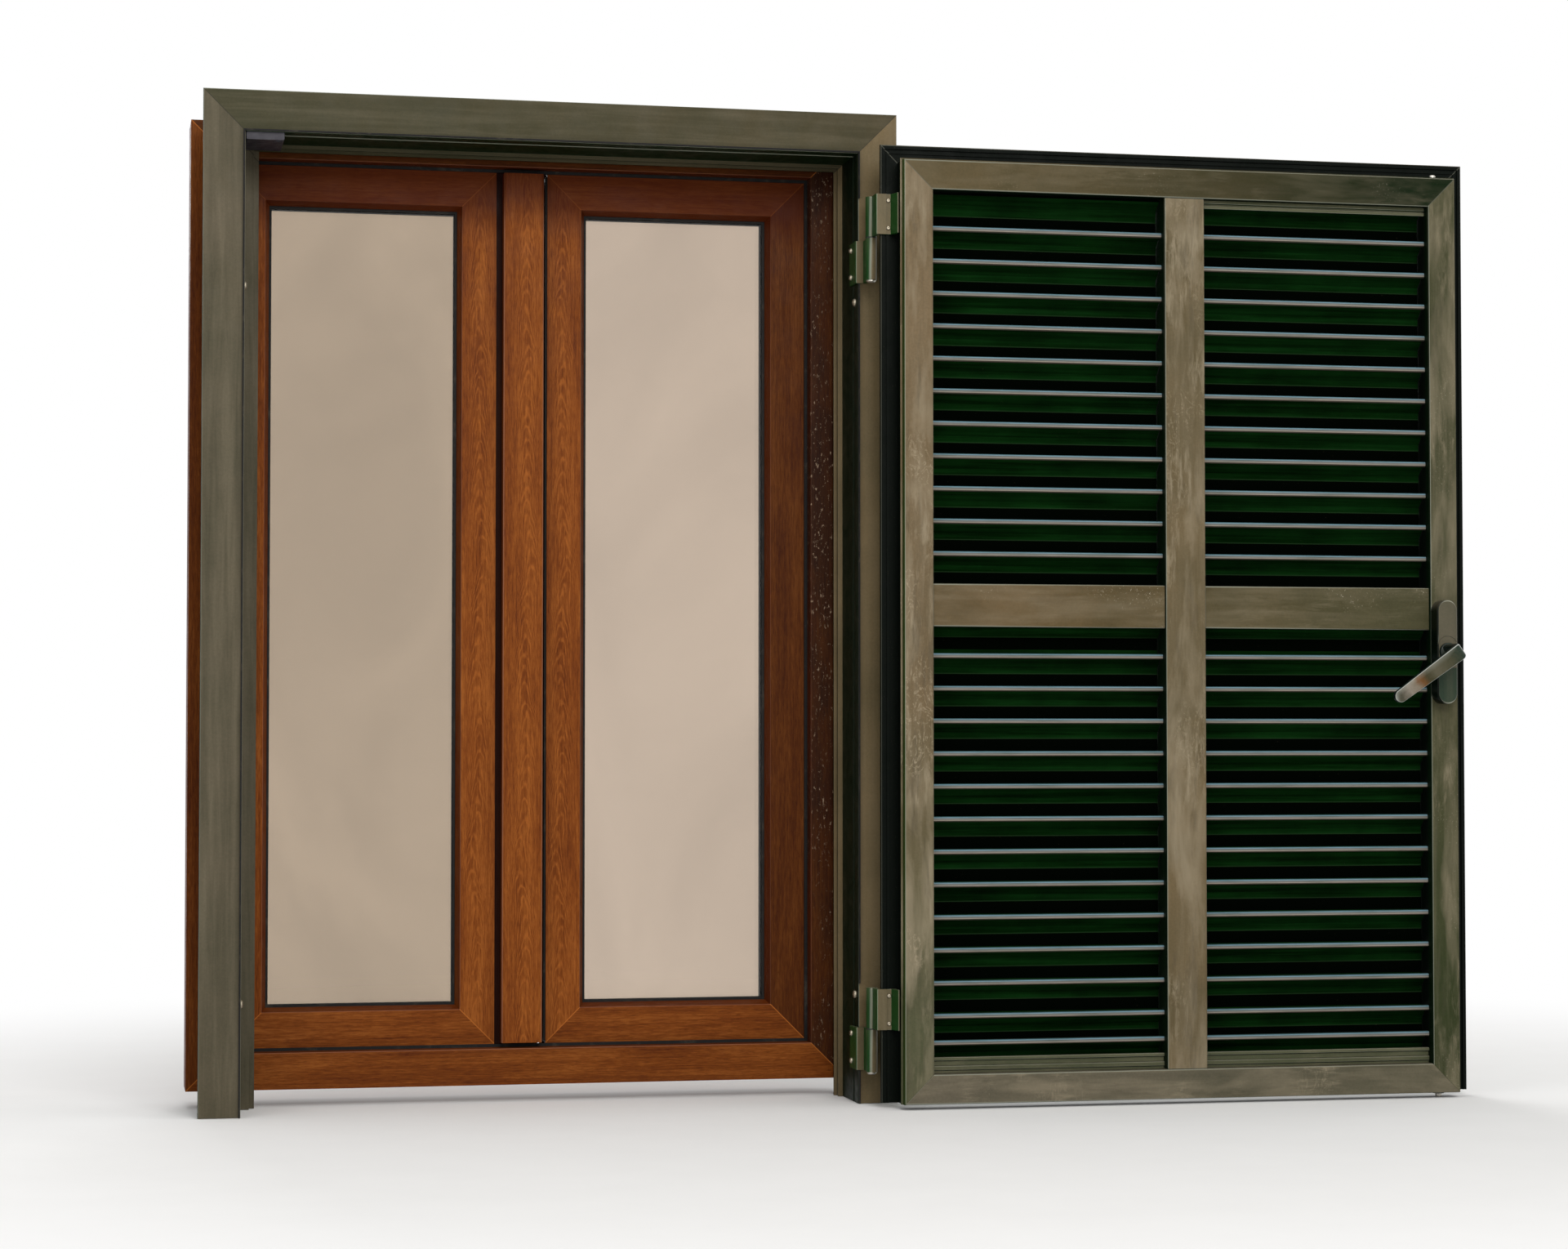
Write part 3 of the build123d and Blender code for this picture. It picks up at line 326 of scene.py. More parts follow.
def powder_coat(name, axis, face, face_end=None, span=(0.0, 1.0), gloss=0.48, wear=0.5, marks=0.0,
                rings=0.0, flecks=0.0, joints=(), joint_tone=0.3, specular=0.10, flank=FLANK, edge=0.55,
                flange_y=None, below=None):
    """Dark green powder coat, with painted light in khaki on its outward faces.

    The face's colour runs from `face` to `face_end` over the two places in `span`, along x. The flanks are
    painted in shade with `flank`, and rounded edges get a painted highlight as strong as `edge`. `marks`,
    `rings` and `flecks` are how far rubbed patches, dried drops and bright specks show. `joints` are mitre
    lines (x, z, slope). The overlap flange, whose bead stands at `flange_y`, is painted in shade, with
    painted highlight lines on its bead and rib. `below` is a height, half the width of the change there and
    the face's colour under it.
    """
    s = Shader(name, specular_ior_level=specular)
    front = s.lit_side()
    outward = s.scaled(front, *OUTWARD)
    # Painted highlight along rounded edges.
    highlight = s.rounded_edge(front, 0.45, 0.68)
    tone = face
    if face_end:
        tone = s.mix(s.scaled(s.axis("x"), *span), face, face_end)
    if below:
        height, soft, lower = below
        tone = s.mix(s.falling(s.axis("z"), height - soft, height + soft), tone, lower)
    cloud = s.over(s.noise(7, 5.0, 0.62), 0.30, 0.72)
    streak = s.over(s.noise(along(axis, 95, 5), 5.0, 0.62, 0.4), 0.40, 0.70)
    fleck = s.over(s.noise(330, 4.0, 0.7), 0.35, 0.72)
    colour = s.mix(s.times(cloud, 0.55), tone, s.mix(0.78, tone, FLANK))
    colour = s.mix(s.times(streak, 0.30 * wear), colour, DUST)
    colour = s.mix(s.times(fleck, 0.16), colour, FLANK)
    if marks:
        colour = rubbed_marks(s, axis, colour, marks)
    if rings:
        colour = dried_drops(s, colour, rings)
    if flecks:
        colour = bright_flecks(s, colour, flecks)
    away = s.scaled(s.facing("y"), 0.60, 0.90)
    # Painted light and shade: the lit face colour on outward faces, the painted flank shade on flanks.
    colour = s.mix(away, s.mix(outward, flank, colour), weathered(s, cloud, streak, fleck))
    if flange_y:
        # Painted shade over the flange, behind its front, with painted highlights on bead and rib.
        start = flange_y - FLANGE_DEPTH
        behind = s.times(s.scaled(s.axis("y"), start, start + FLANGE_FADE), s.falling(away, 0.0, 1.0))
        colour = flange_lines(s, colour, flange_y, outward, behind)
        highlight = s.times(highlight, s.falling(behind, 0.0, 1.0, 0.30))
    colour = s.mix(s.times(highlight, edge), colour, EDGE_LIGHT)
    if joints:
        line = s.times(s.mitres(joints), s.scaled(front, 0.7, 0.88), 0.6)
        colour = s.mix(line, colour, tinted(EDGE_LIGHT, joint_tone))
    settled = s.times(s.top_face(), s.noise(60, 5.0, 0.7), 0.45)
    colour = s.mix(settled, colour, DUST)
    specks = s.over(s.noise(900, 2.0, 0.5), 0.70, 0.76)
    colour = s.mix(s.times(specks, 0.14), colour, DUST)
    smudge = s.noise(26, 4.0, 0.65, 0.6)
    rough = s.ramp(smudge, (0.35, gloss - 0.08), (0.75, gloss + 0.2))
    return s.set(base_color=colour, roughness=rough, normal=s.orange_peel()).material


def grip_coat(name, box):
    """The shutter lever's coat: pale towards the tip, orange at the grip and green at the pivot, as painted
    reflection mixed with rust and wear.

    `box` is the lever's, at rest, in which it runs from the low left to the high right corner.
    """
    s = Shader(name, specular_ior_level=0.15)
    front = s.lit_side()
    # Painted highlight along the bar's rounded edges.
    highlight = s.rounded_edge(front, 0.40, 0.66)
    highlight = s.times(highlight, s.falling(s.axis("y"), LEVER_BAR_END - 0.001, LEVER_BAR_END, 0.06))
    wobble = s.times(s.minus(s.noise(90, 4.0, 0.6), 0.5), 0.12)
    length, rise = box[1].x - box[0].x, box[1].z - box[0].z
    reach = length ** 2 + rise ** 2
    sideways = s.times(s.minus(s.axis("x"), box[0].x), length / reach)
    upwards = s.times(s.minus(s.axis("z"), box[0].z), rise / reach)
    share = s.math("ADD", s.math("ADD", sideways, upwards), wobble)
    fleck = s.over(s.noise(300, 4.0, 0.7), 0.35, 0.72)
    colour = s.mix(s.times(fleck, 0.30), s.ramp(share, *GRIP_TONES), tinted(DUST, 0.3))
    # Painted shade on the lever's flanks, then its painted highlight.
    colour = s.mix(s.scaled(front, *OUTWARD), LEVER_FLANK, colour)
    colour = s.mix(s.times(highlight, 0.85), colour, LEVER_HIGHLIGHT)
    rough = s.ramp(s.noise(40, 4.0, 0.65), (0.35, 0.26), (0.75, 0.48))
    return s.set(base_color=colour, roughness=rough, normal=s.orange_peel()).material


SLAT_PITCH = 0.039
NOSE_DEPTH = (0.0022, 0.0040)  # where a slat's rolled nose starts to fade into the blade, and where it ends
BLADE_SHARE = 0.60  # of the pitch, from a slat's top down to its crease, under which the blade is painted in shade


def slat_paint(name, nose_y, top_z):
    """The same coat on louvres: deep green blades with painted light and shade down each pitch, and a painted
    reflection along each rolled nose.
    """
    s = Shader(name, specular_ior_level=0.0)
    down = s.math("FRACT", s.math("DIVIDE", s.minus(top_z, s.axis("z")), SLAT_PITCH))
    nose = s.falling(s.axis("y"), nose_y + NOSE_DEPTH[0], nose_y + NOSE_DEPTH[1])
    grain = s.noise(along("x", 150, 5), 5.0, 0.66)
    cloud = s.noise(11, 4.0, 0.6)
    leafy = s.mix(s.over(grain, 0.38, 0.66), *SLAT_GREENS)
    # Painted light on the blade above the crease, and painted shade below it.
    lit = s.times(s.falling(down, BLADE_SHARE, BLADE_SHARE + 0.04), s.scaled(cloud, 0.30, 0.65, 0.45, 1.0))
    blade = s.mix(lit, SLAT_SHADE, leafy)
    weather = s.mix(s.over(grain, 0.38, 0.66), tinted(WEATHER_GREEN, 0.55), WEATHER_GREEN)
    blade = s.mix(s.scaled(s.facing("y"), 0.25, 0.60), blade, weather)
    # A painted highlight along the crease.
    crease = s.band(down, BLADE_SHARE + 0.005, BLADE_SHARE + 0.022, 0.012)
    blade = s.mix(s.times(crease, 0.5), blade, CREASE_HIGHLIGHT)
    # Patches where the nose's painted reflection is dull.
    dull = s.ramp(s.noise(along("x", 300, 14), 5.0, 0.7), (0.30, 0.5), (0.55, 0.0))
    edge = s.mix(dull, s.ramp(s.scaled(s.facing("z"), -0.55, 0.95), *NOSE_REFLECTIONS), DULL_NOSE)
    colour = s.mix(s.times(nose, 0.95), blade, edge)
    specks = s.over(s.noise(420, 3.0, 0.6), 0.70, 0.76)
    colour = s.mix(s.times(specks, 0.10), colour, DUST)
    settled = s.times(s.top_face(), s.noise(90, 5.0, 0.7))
    colour = s.mix(s.times(settled, s.scaled(nose, 0.0, 1.0, 0.22, 0.0)), colour, DUST)
    rough = s.ramp(grain, (0.35, 0.45), (0.7, 0.7))
    return s.set(base_color=colour, roughness=rough, normal=s.orange_peel(0.4)).material


# ---------------------------------------------------------------- wood foil, rubber, glass, metal, plastic

ARCH_PITCH = 0.020  # between one arched line and the next, up the board
ARCH_STEEPNESS = 480.0  # times the square of the distance from the middle, a line rises
LINTEL_FADE = 0.045  # height over which the shade under the lintel grows


def arched_figure(s, colour, middle, shade):
    """The broken arched lines of a flat-sawn board, whose tops wander about x = middle."""
    meander = s.times(s.minus(s.noise((0, 0, 5.5), 2.0, 0.5), 0.5), 0.045)
    across = s.minus(s.minus(s.axis("x"), middle), meander)
    rise = s.math("ADD", s.axis("z"), s.times(across, across, ARCH_STEEPNESS))
    sway = s.times(s.noise((60, 60, 24), 4.0, 0.6), 2.6)
    line = s.stripe(s.math("ADD", s.math("DIVIDE", rise, ARCH_PITCH), sway), 0.06, 0.26)
    broken = s.ramp(s.noise((420, 420, 60), 3.0, 0.65), (0.36, 0.15), (0.60, 1.0))
    fade = s.scaled(s.absolute(across), 0.006, 0.024, 0.9, 0.15)
    return s.mix(s.times(line, broken, fade, 0.55), colour, tinted(WOOD_LIGHT, 1.25 * shade))


def wood_foil(name, axis, arches=None, grime=0.0, shade=1.0, joints=(), lintel=None, groove_y=None):
    """Brown wood-grain foil: pores and fibres along an axis.

    `arches` is the x about which a flat-sawn board's arched figure stands. `grime` is how far dirt shows, and
    `shade` darkens the wood as painted shade. `joints` are mitre lines (x, z, slope). Flanks are painted in
    shade, and rounded edges get a painted highlight. The outer face is painted in shade upwards from the
    height
    `lintel`, and what lies behind `groove_y` is painted nearly black, as shade.
    """
    s = Shader(name, specular_ior_level=0.07)
    fibre = s.noise(along(axis, 520, 11), 5.0, 0.62, 0.3)
    dash = s.noise(along(axis, 560, 70), 4.0, 0.60, 0.3)
    tone = s.noise(along(axis, 46, 5.0), 4.0, 0.55, 0.6)
    pores = s.over(s.noise(along(axis, 1300, 90), 3.0, 0.6), 0.57, 0.66)
    blend = s.math("ADD", s.times(fibre, 0.30), s.math("ADD", s.times(dash, 0.34), s.times(tone, 0.36)))
    dark, mid, light = (tinted(colour, shade) for colour in (WOOD_DARK, WOOD_MID, WOOD_LIGHT))
    colour = s.ramp(blend, (0.33, dark), (0.50, mid), (0.66, light))
    if arches is not None:
        colour = arched_figure(s, colour, arches, shade)
    colour = s.mix(s.times(pores, 0.55), colour, dark)
    # Painted shade on the flanks and a painted highlight on rounded edges.
    level = s.absolute(s.facing("y"))
    front = s.scaled(level, 0.55, 0.95)
    colour = s.mix(front, s.mix(0.62, colour, WOOD_SHADE), colour)
    edge = s.times(s.scaled(level, 0.45, 0.62), s.falling(level, 0.80, 0.93))
    colour = s.mix(s.times(edge, 0.45 * shade), colour, WOOD_HIGHLIGHT)
    if joints:
        colour = s.mix(s.times(s.mitres(joints), front, 0.7), colour, tinted(WOOD_LIGHT, 1.5))
    if lintel:
        outside = s.scaled(s.facing("y"), 0.3, 0.7, 0.75, 0.0)
        shadow = s.times(s.scaled(s.axis("z"), lintel, lintel + LINTEL_FADE), outside)
        colour = s.mix(shadow, colour, WOOD_SHADE)
    # Painted shade, nearly black, behind groove_y.
    if groove_y is not None:
        outside = s.scaled(s.facing("y"), 0.6, 0.9, 0.93, 0.0)
        sunk = s.times(s.scaled(s.axis("y"), groove_y, groove_y + 0.001), outside)
        colour = s.mix(sunk, colour, GROOVE_SHADE)
    if grime:
        spots = s.over(s.noise((330, 330, 150), 5.0, 0.75), 0.60, 0.65)
        patch = s.over(s.noise((16, 16, 5), 3.0, 0.6), 0.36, 0.60)
        colour = s.mix(s.times(patch, 0.7 * grime), colour, GRIME)
        colour = s.mix(s.times(spots, patch, grime), colour, GRIME_SPOTS)
    rough = s.ramp(s.noise(30, 4.0, 0.6), (0.3, 0.36), (0.7, 0.55))
    relief = s.bump(s.minus(dash, s.times(pores, 0.6)), 0.00012, 0.6)
    return s.set(base_color=colour, roughness=rough, normal=relief).material


def rubber(name):
    """Black gasket rubber with a little dust."""
    s = Shader(name, specular_ior_level=0.2)
    grey = s.mix(s.noise(150, 4.0, 0.6), (0.003, 0.003, 0.003), (0.014, 0.013, 0.012))
    dust = s.ramp(s.noise(40, 5.0, 0.7), (0.55, 0.0), (0.8, 0.18))
    relief = s.bump(s.noise(1200, 2.0, 0.5), 0.00003, 0.5)
    return s.set(base_color=s.mix(dust, grey, DUST), roughness=0.7, normal=relief).material


def glass(name, tint):
    """Pane with a warm tint and faint smears."""
    s = Shader(name, transmission_weight=1.0, ior=1.5)
    film = s.ramp(s.noise((4, 4, 2.2), 5.0, 0.6, 0.9), (0.35, tint), (0.70, tinted(tint, 0.90)))
    smear = s.ramp(s.noise((7, 7, 3), 6.0, 0.65, 0.8), (0.42, 0.0), (0.8, 0.035))
    return s.set(base_color=film, roughness=smear).material


def metal(name, tint, rough, scratch_axis="x"):
    """Dulled metal with scratches along one axis and darker stains."""
    s = Shader(name, metallic=1.0)
    scratch = s.noise(along(scratch_axis, 900, 40), 4.0, 0.6)
    stain = s.over(s.noise(120, 5.0, 0.7), 0.45, 0.75)
    colour = s.mix(s.times(stain, 0.7), tint, tinted(tint, 0.45))
    relief = s.bump(scratch, 0.00002, 0.5)
    spread = s.ramp(scratch, (0.35, rough - 0.08), (0.65, rough + 0.12))
    return s.set(base_color=colour, roughness=spread, normal=relief).material


def moulded(name, colour, rough=0.5):
    """Moulded plastic or enamel, with a fine grain and paler patches."""
    s = Shader(name, specular_ior_level=0.3)
    pale = tuple(min(1.0, 2.2 * part + 0.01) for part in colour)
    tone = s.ramp(s.noise(60, 5.0, 0.65), (0.35, 0.0), (0.75, 0.6))
    relief = s.bump(s.noise(1500, 2.0, 0.5), 0.00003, 0.6)
    spread = s.ramp(s.noise(80, 4.0, 0.6), (0.35, rough - 0.1), (0.7, rough + 0.12))
    return s.set(base_color=s.mix(tone, colour, pale), roughness=spread, normal=relief).material


# ---------------------------------------------------------------- what each CAD node wears


def dress(material, *names):
    """Gives CAD nodes one material."""
    for name in names:
        mesh = nodes[name].data
        mesh.materials.clear()
        mesh.materials.append(material)


FRAME_JAMBS = ("shutter_frame_jamb_left", "shutter_frame_jamb_right")
LEAF_STILES = ("shutter_stile_hinge_side", "shutter_stile_lock_side")
MID_RAILS = ("shutter_mid_rail_left", "shutter_mid_rail_right")
HINGE_PLATES = ("hinge_frame_half_lower", "hinge_frame_half_upper", "hinge_leaf_half_lower",
                "hinge_leaf_half_upper", "hinge_frame_clamps", "hinge_leaf_clamps")
GASKETS = ("shutter_frame_gaskets", "window_frame_gasket", "sash_left_gaskets", "sash_right_gaskets")

head_low, head_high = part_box("shutter_frame_head")
frame_joints = [(head_low.x, head_high.z, -1), (head_high.x, head_high.z, 1)]
on_frame = {"joints": frame_joints, "joint_tone": 0.05}
dress(powder_coat("jamb_coat", "z", (0.095, 0.078, 0.050), wear=0.6, **on_frame), FRAME_JAMBS[0])
# The right jamb's face colour, paler than the left jamb's, is painted light.
dress(powder_coat("right_jamb_coat", "z", (0.195, 0.138, 0.070), wear=0.4, flank=LEAF_FLANK, **on_frame),
      FRAME_JAMBS[1])
dress(powder_coat("head_coat", "x", (0.058, 0.051, 0.026), (0.078, 0.061, 0.032), (head_low.x, head_high.x),
                  wear=0.4, **on_frame), "shutter_frame_head")

FLANGE_THICK = 0.008
leaf_low, leaf_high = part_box(LEAF_STILES[0])
leaf_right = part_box(LEAF_STILES[1])[1].x
leaf_joints = [(leaf_low.x, leaf_high.z, -1), (leaf_right, leaf_high.z, 1)]
flanged = {"flange_y": leaf_high.y - FLANGE_THICK, "joints": leaf_joints, "specular": 0.06}
leaf_span = (leaf_low.x + 0.1, leaf_right - 0.1)
dress(powder_coat("hinge_stile_coat", "z", (0.185, 0.128, 0.070), wear=0.6, marks=1.3, rings=1.0,
                  below=(0.28, 0.20, (0.098, 0.098, 0.052)), flank=STILE_FLANK, **flanged), LEAF_STILES[0])
dress(powder_coat("lock_stile_coat", "z", (0.070, 0.067, 0.033), wear=0.5, marks=0.8, flecks=0.3,
                  below=(0.30, 0.15, (0.040, 0.047, 0.018)), flank=LEAF_FLANK, **flanged), LEAF_STILES[1])
dress(powder_coat("top_rail_coat", "x", (0.118, 0.086, 0.042), (0.003, 0.009, 0.001), leaf_span, wear=0.15,
                  marks=0.3, flecks=0.2, flank=LEAF_FLANK, **flanged), "shutter_rail_top")
dress(powder_coat("bottom_rail_coat", "x", (0.142, 0.120, 0.085), (0.105, 0.094, 0.062), leaf_span, wear=0.6,
                  marks=0.8, rings=0.5, flank=LEAF_FLANK, **flanged), "shutter_rail_bottom")
dress(powder_coat("muntin_coat", "z", (0.150, 0.108, 0.055), wear=0.6, marks=1.2, rings=0.5,
                  flank=LEAF_FLANK), "shutter_muntin")
dress(powder_coat("mid_rail_coat", "x", (0.130, 0.080, 0.032), (0.072, 0.064, 0.030), leaf_span, wear=0.4,
                  marks=0.4, flecks=0.7, flank=LEAF_FLANK), *MID_RAILS)
dress(powder_coat("filler_coat", "x", (0.085, 0.090, 0.048), wear=0.5, marks=0.3), "slat_fillers")
for level, others in (("upper", ["slat_starters"]), ("lower", [])):
    bank_low, bank_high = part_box(f"slats_{level}_left")
    dress(slat_paint(f"slat_coat_{level}", bank_low.y, bank_high.z), f"slats_{level}_left",
          f"slats_{level}_right", *others)

COVER_JOINT = 0.5055  # height of the joint between the housing's khaki plate and its green lower cover
dress(powder_coat("hinge_coat", "z", (0.165, 0.125, 0.066), gloss=0.38, wear=0.6, specular=0.15,
                  flank=HINGE_FLANK), *HINGE_PLATES)
dress(powder_coat("housing_coat", "z", (0.118, 0.102, 0.068), gloss=0.36, wear=0.3, specular=0.12, edge=0.75,
                  flank=HOUSING_FLANK, below=(COVER_JOINT, 0.0003, (0.026, 0.044, 0.028))),
      "shutter_handle_housing")
lever_coat = grip_coat("lever_coat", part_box("shutter_handle_lever"))
dress(lever_coat, "shutter_handle_lever")
dress(metal("zinc", (0.55, 0.52, 0.46), 0.38), "hinge_pins", "hinge_frame_screws", "hinge_leaf_screws",
      "upper_bolt", "lower_bolt")
dress(moulded("keeper_plastic", (0.020, 0.018, 0.024)), "bolt_keeper")
dress(moulded("bush_plastic", (0.010, 0.010, 0.010)), "hinge_washers", "bolt_guides")
gasket_rubber = rubber("gasket_rubber")
dress(gasket_rubber, *GASKETS)
dress(glass("pane_glass_left", (0.66, 0.58, 0.49)), "sash_left_glass")
dress(glass("pane_glass_right", (0.74, 0.66, 0.58)), "sash_right_glass")
dress(metal("spacer_aluminium", (0.62, 0.62, 0.60), 0.42, "z"), "sash_left_spacer", "sash_right_spacer")


def frame_corners(*posts):
    """Mitre lines at the top and bottom of upright pieces: (node, "low" or "high" end of its box in x)."""
    lines = []
    for name, which in posts:
        low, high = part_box(name)
        x, out = (low.x, 1) if which == "low" else (high.x, -1)
        lines += [(x, high.z, -out), (x, low.z, out)]
    return lines


SASH_LINTEL = 1.030  # the height from which the reveal shades the sashes
ASTRAGAL_LINTEL = 1.040
ASTRAGAL_FACE_DEPTH = 0.0125
for side, outer, inner, arches in (("left", "low", "high", -0.052), ("right", "high", "low", 0.050)):
    part = f"sash_{side}_"
    lines = frame_corners((part + "stile_hinge_side", outer), (part + "stile_meeting", inner))
    on_sash = {"joints": lines, "lintel": SASH_LINTEL}
    upright = wood_foil(f"sash_foil_upright_{side}", "z", **on_sash)
    dress(upright, part + "beads")
    # The right sash's hinge stile is painted in the reveal's shade.
    if side == "right":
        upright = wood_foil("sash_foil_shaded", "z", shade=0.42, **on_sash)
    dress(upright, part + "stile_hinge_side")
    dress(wood_foil(f"sash_foil_figured_{side}", "z", arches=arches, **on_sash), part + "stile_meeting")
    dress(wood_foil(f"sash_foil_top_{side}", "x", **on_sash), part + "rail_top")
    dress(wood_foil(f"sash_foil_low_{side}", "x", shade=0.9, joints=lines), part + "rail_bottom")
groove_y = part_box("astragal")[0].y + ASTRAGAL_FACE_DEPTH
dress(wood_foil("astragal_foil", "z", arches=0.004, lintel=ASTRAGAL_LINTEL, groove_y=groove_y), "astragal")
lines = frame_corners(("window_frame_jamb_left", "low"), ("window_frame_jamb_right", "high"))
# The shade values on the window frame are painted shade, deepest on the head and the right jamb.
dress(wood_foil("jamb_foil_grimy", "z", grime=0.9, shade=0.30, joints=lines), "window_frame_jamb_right")
dress(wood_foil("jamb_foil", "z", shade=0.7, joints=lines), "window_frame_jamb_left")
dress(wood_foil("head_foil", "x", shade=0.35, joints=lines), "window_frame_head")
dress(wood_foil("bottom_foil", "x", shade=0.8, joints=lines), "window_frame_bottom_rail")
dress(moulded("brown_enamel", (0.075, 0.030, 0.016), 0.4), "sash_hinge_frame_parts", "sash_left_hinges",
      "sash_right_hinges", "window_handle_rose", "window_handle_lever")

# ---------------------------------------------------------------- rounded edges

WELD_DISTANCE = 0.00001
SHARP_FROM = radians(35)


def soften(width, *names):
    """Rounds the sharp edges of CAD nodes."""
    for name in names:
        weld = nodes[name].modifiers.new("join", "WELD")
        weld.merge_threshold = WELD_DISTANCE
        rounding = nodes[name].modifiers.new("edges", "BEVEL")
        rounding.width = width
        rounding.segments = 2
        rounding.limit_method = "ANGLE"
        rounding.angle_limit = SHARP_FROM
        rounding.harden_normals = True


soften(0.0006, *FRAME_JAMBS, "shutter_frame_head", *LEAF_STILES, "shutter_rail_top", "shutter_rail_bottom",
       "shutter_muntin", *MID_RAILS)
soften(0.0005, *HINGE_PLATES, "bolt_keeper")
soften(0.0008, "shutter_handle_housing", "shutter_handle_lever")
soften(0.0007, "astragal", "window_frame_head", "window_frame_bottom_rail", "window_frame_jamb_left",
       "window_frame_jamb_right",
       *(f"sash_{side}_{part}" for side in ("left", "right")
         for part in ("stile_hinge_side", "stile_meeting", "rail_top", "rail_bottom")))

# ---------------------------------------------------------------- pieces of the scene's own


def new_piece(name, made, body, material, place=None, sharp_from=None):
    """An object on a body, from what a bmesh holds; smooth up to edges of sharp_from degrees, if given."""
    bmesh.ops.recalc_face_normals(made, faces=made.faces)
    mesh = bpy.data.meshes.new(name)
    made.to_mesh(mesh)
    made.free()
    if sharp_from:
        for polygon in mesh.polygons:
            polygon.use_smooth = True
        mesh.set_sharp_from_angle(angle=radians(sharp_from))
    mesh.materials.append(material)
    piece = bpy.data.objects.new(name, mesh)
    bpy.context.scene.collection.objects.link(piece)
    if place is not None:
        piece.matrix_world = place
    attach(piece, body)
    return piece


def loft(made, rings):
    """Faces from each ring of points to the next, and across both ends."""
    for near, far in zip(rings, rings[1:]):
        for i in range(len(near)):
            after = (i + 1) % len(near)
            made.faces.new((near[i], near[after], far[after], far[i]))
    made.faces.new(list(reversed(rings[0])))
    made.faces.new(rings[-1])


# The dome of a screw's head: shares of its radius and of its height, from its foot to its recess
DOME = ((1.0, 0.0), (1.0, 0.25), (0.93, 0.55), (0.76, 0.84), (0.58, 1.0), (0.45, 1.0))
RECESS_REACH = 0.9 * DOME[-1][0]  # from the middle to a corner of the recess, as a share of the radius
RECESS_FLOOR = 0.35  # as a share of the height
RECESS_CHAMFER = 0.0001
HEAD_STEPS = 36


def screw_head(name, place, direction, radius, height, body):
    """A domed screw head with a six-sided recess; direction points away from what it holds."""
    made = bmesh.new()
    turns = [2 * pi * i / HEAD_STEPS for i in range(HEAD_STEPS)]
    rings = [[made.verts.new((r * radius * cos(turn), r * radius * sin(turn), h * height)) for turn in turns]
             for r, h in DOME]
    for depth in (height - RECESS_CHAMFER, RECESS_FLOOR * height):
        ring = []
        for turn in turns:
            hexagon = cos(pi / 6) / cos((turn + pi / 6) % (pi / 3) - pi / 6)
            reach = RECESS_REACH * radius * hexagon
            ring.append(made.verts.new((reach * cos(turn), reach * sin(turn), depth)))
        rings.append(ring)
    loft(made, rings)
    turned = Vector(direction).to_track_quat("Z", "Y").to_matrix().to_4x4()
    return new_piece(name, made, body, screw_metal, Matrix.Translation(place) @ turned, 40)


screw_metal = metal("screw_zinc", (0.42, 0.37, 0.28), 0.42)
HINGE_SCREW_PITCH = 0.033


def screw_heights(low, high, radius):
    """The heights of four screws, two at each end of their box."""
    first, last = low.z + radius, high.z - radius
    return first, first + HINGE_SCREW_PITCH, last - HINGE_SCREW_PITCH, last


low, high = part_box("hinge_frame_screws")
radius = (high.y - low.y) / 2
for i, z in enumerate(screw_heights(low, high, radius)):
    head = screw_head(f"hinge_frame_screw_{i + 1}", (high.x, (low.y + high.y) / 2, z), (-1, 0, 0), radius,
                      high.x - low.x, "frame")
    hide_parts("hinge_frame_screws")
low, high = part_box("hinge_leaf_screws")
radius = (high.x - low.x) / 2
for i, z in enumerate(screw_heights(low, high, radius)):
    head = screw_head(f"hinge_leaf_screw_{i + 1}", ((low.x + high.x) / 2, high.y, z), (0, -1, 0), radius,
                      high.y - low.y, "shutter_leaf")
    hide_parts("hinge_leaf_screws")

FIXING_Y = -0.1275
FIXING_HEIGHTS = (("lower", 0.110), ("upper", 0.950))
FIXING_FACES = (("left", -0.342, 1), ("right", 0.393, -1))  # side, x of the rebate, the way the head looks
FIXING_RADIUS, FIXING_HEIGHT = 0.0048, 0.0028
for side, x, way in FIXING_FACES:
    for level, z in FIXING_HEIGHTS:
        screw_head(f"frame_screw_{side}_{level}", (x, FIXING_Y, z), (way, 0, 0), FIXING_RADIUS, FIXING_HEIGHT,
                   "frame")

# ---------------------------------------------------------------- shutter lever

PIVOT_X, PIVOT_Z = 1.109, 0.525
LEVER_ANGLE = radians(35)
LEVER_LENGTH = 0.103
LEVER_FRONT = -0.290
LEVER_THICK = 0.0065
LEVER_BACK = LEVER_FRONT + LEVER_THICK
TIP_WIDTH, ROOT_WIDTH = 0.0155, 0.0200
NECK_THICK = 0.009
BEND_OUTER = 0.0080
BEND_INNER = BEND_OUTER - LEVER_THICK
BAR_CORNER, BEND_CORNER, NECK_CORNER = 0.0012, 0.0020, 0.0040
ROTOR_RADIUS, ROTOR_THICK, ROTOR_CHAMFER = 0.0110, 0.0040, 0.0006
ROTOR_FRONT = -0.2522
NECK_END = ROTOR_FRONT + 0.0003
TIP_STEPS, BAR_STEPS, BEND_STEPS, CORNER_STEPS, ROTOR_STEPS = 10, 6, 12, 4, 48


def lever_section(made, front, back, width, corner):
    """A cross-section of the lever, with rounded corners, between (x, y) on its front and on its back."""
    front, back = Vector((*front, 0)), Vector((*back, 0))
    middle, way = (front + back) / 2, (back - front).normalized()
    thick = (back - front).length
    corner = min(corner, 0.49 * width, 0.49 * thick)
    ring = []
    for quarter, (side, depth) in enumerate(((1, 1), (-1, 1), (-1, -1), (1, -1))):
        for step in range(CORNER_STEPS + 1):
            turn = pi / 2 * (quarter + step / CORNER_STEPS)
            up = side * (width / 2 - corner) + corner * cos(turn)
            in_depth = depth * (thick / 2 - corner) + corner * sin(turn)
            ring.append(made.verts.new(middle + Vector((0, 0, up)) + way * in_depth))
    return ring


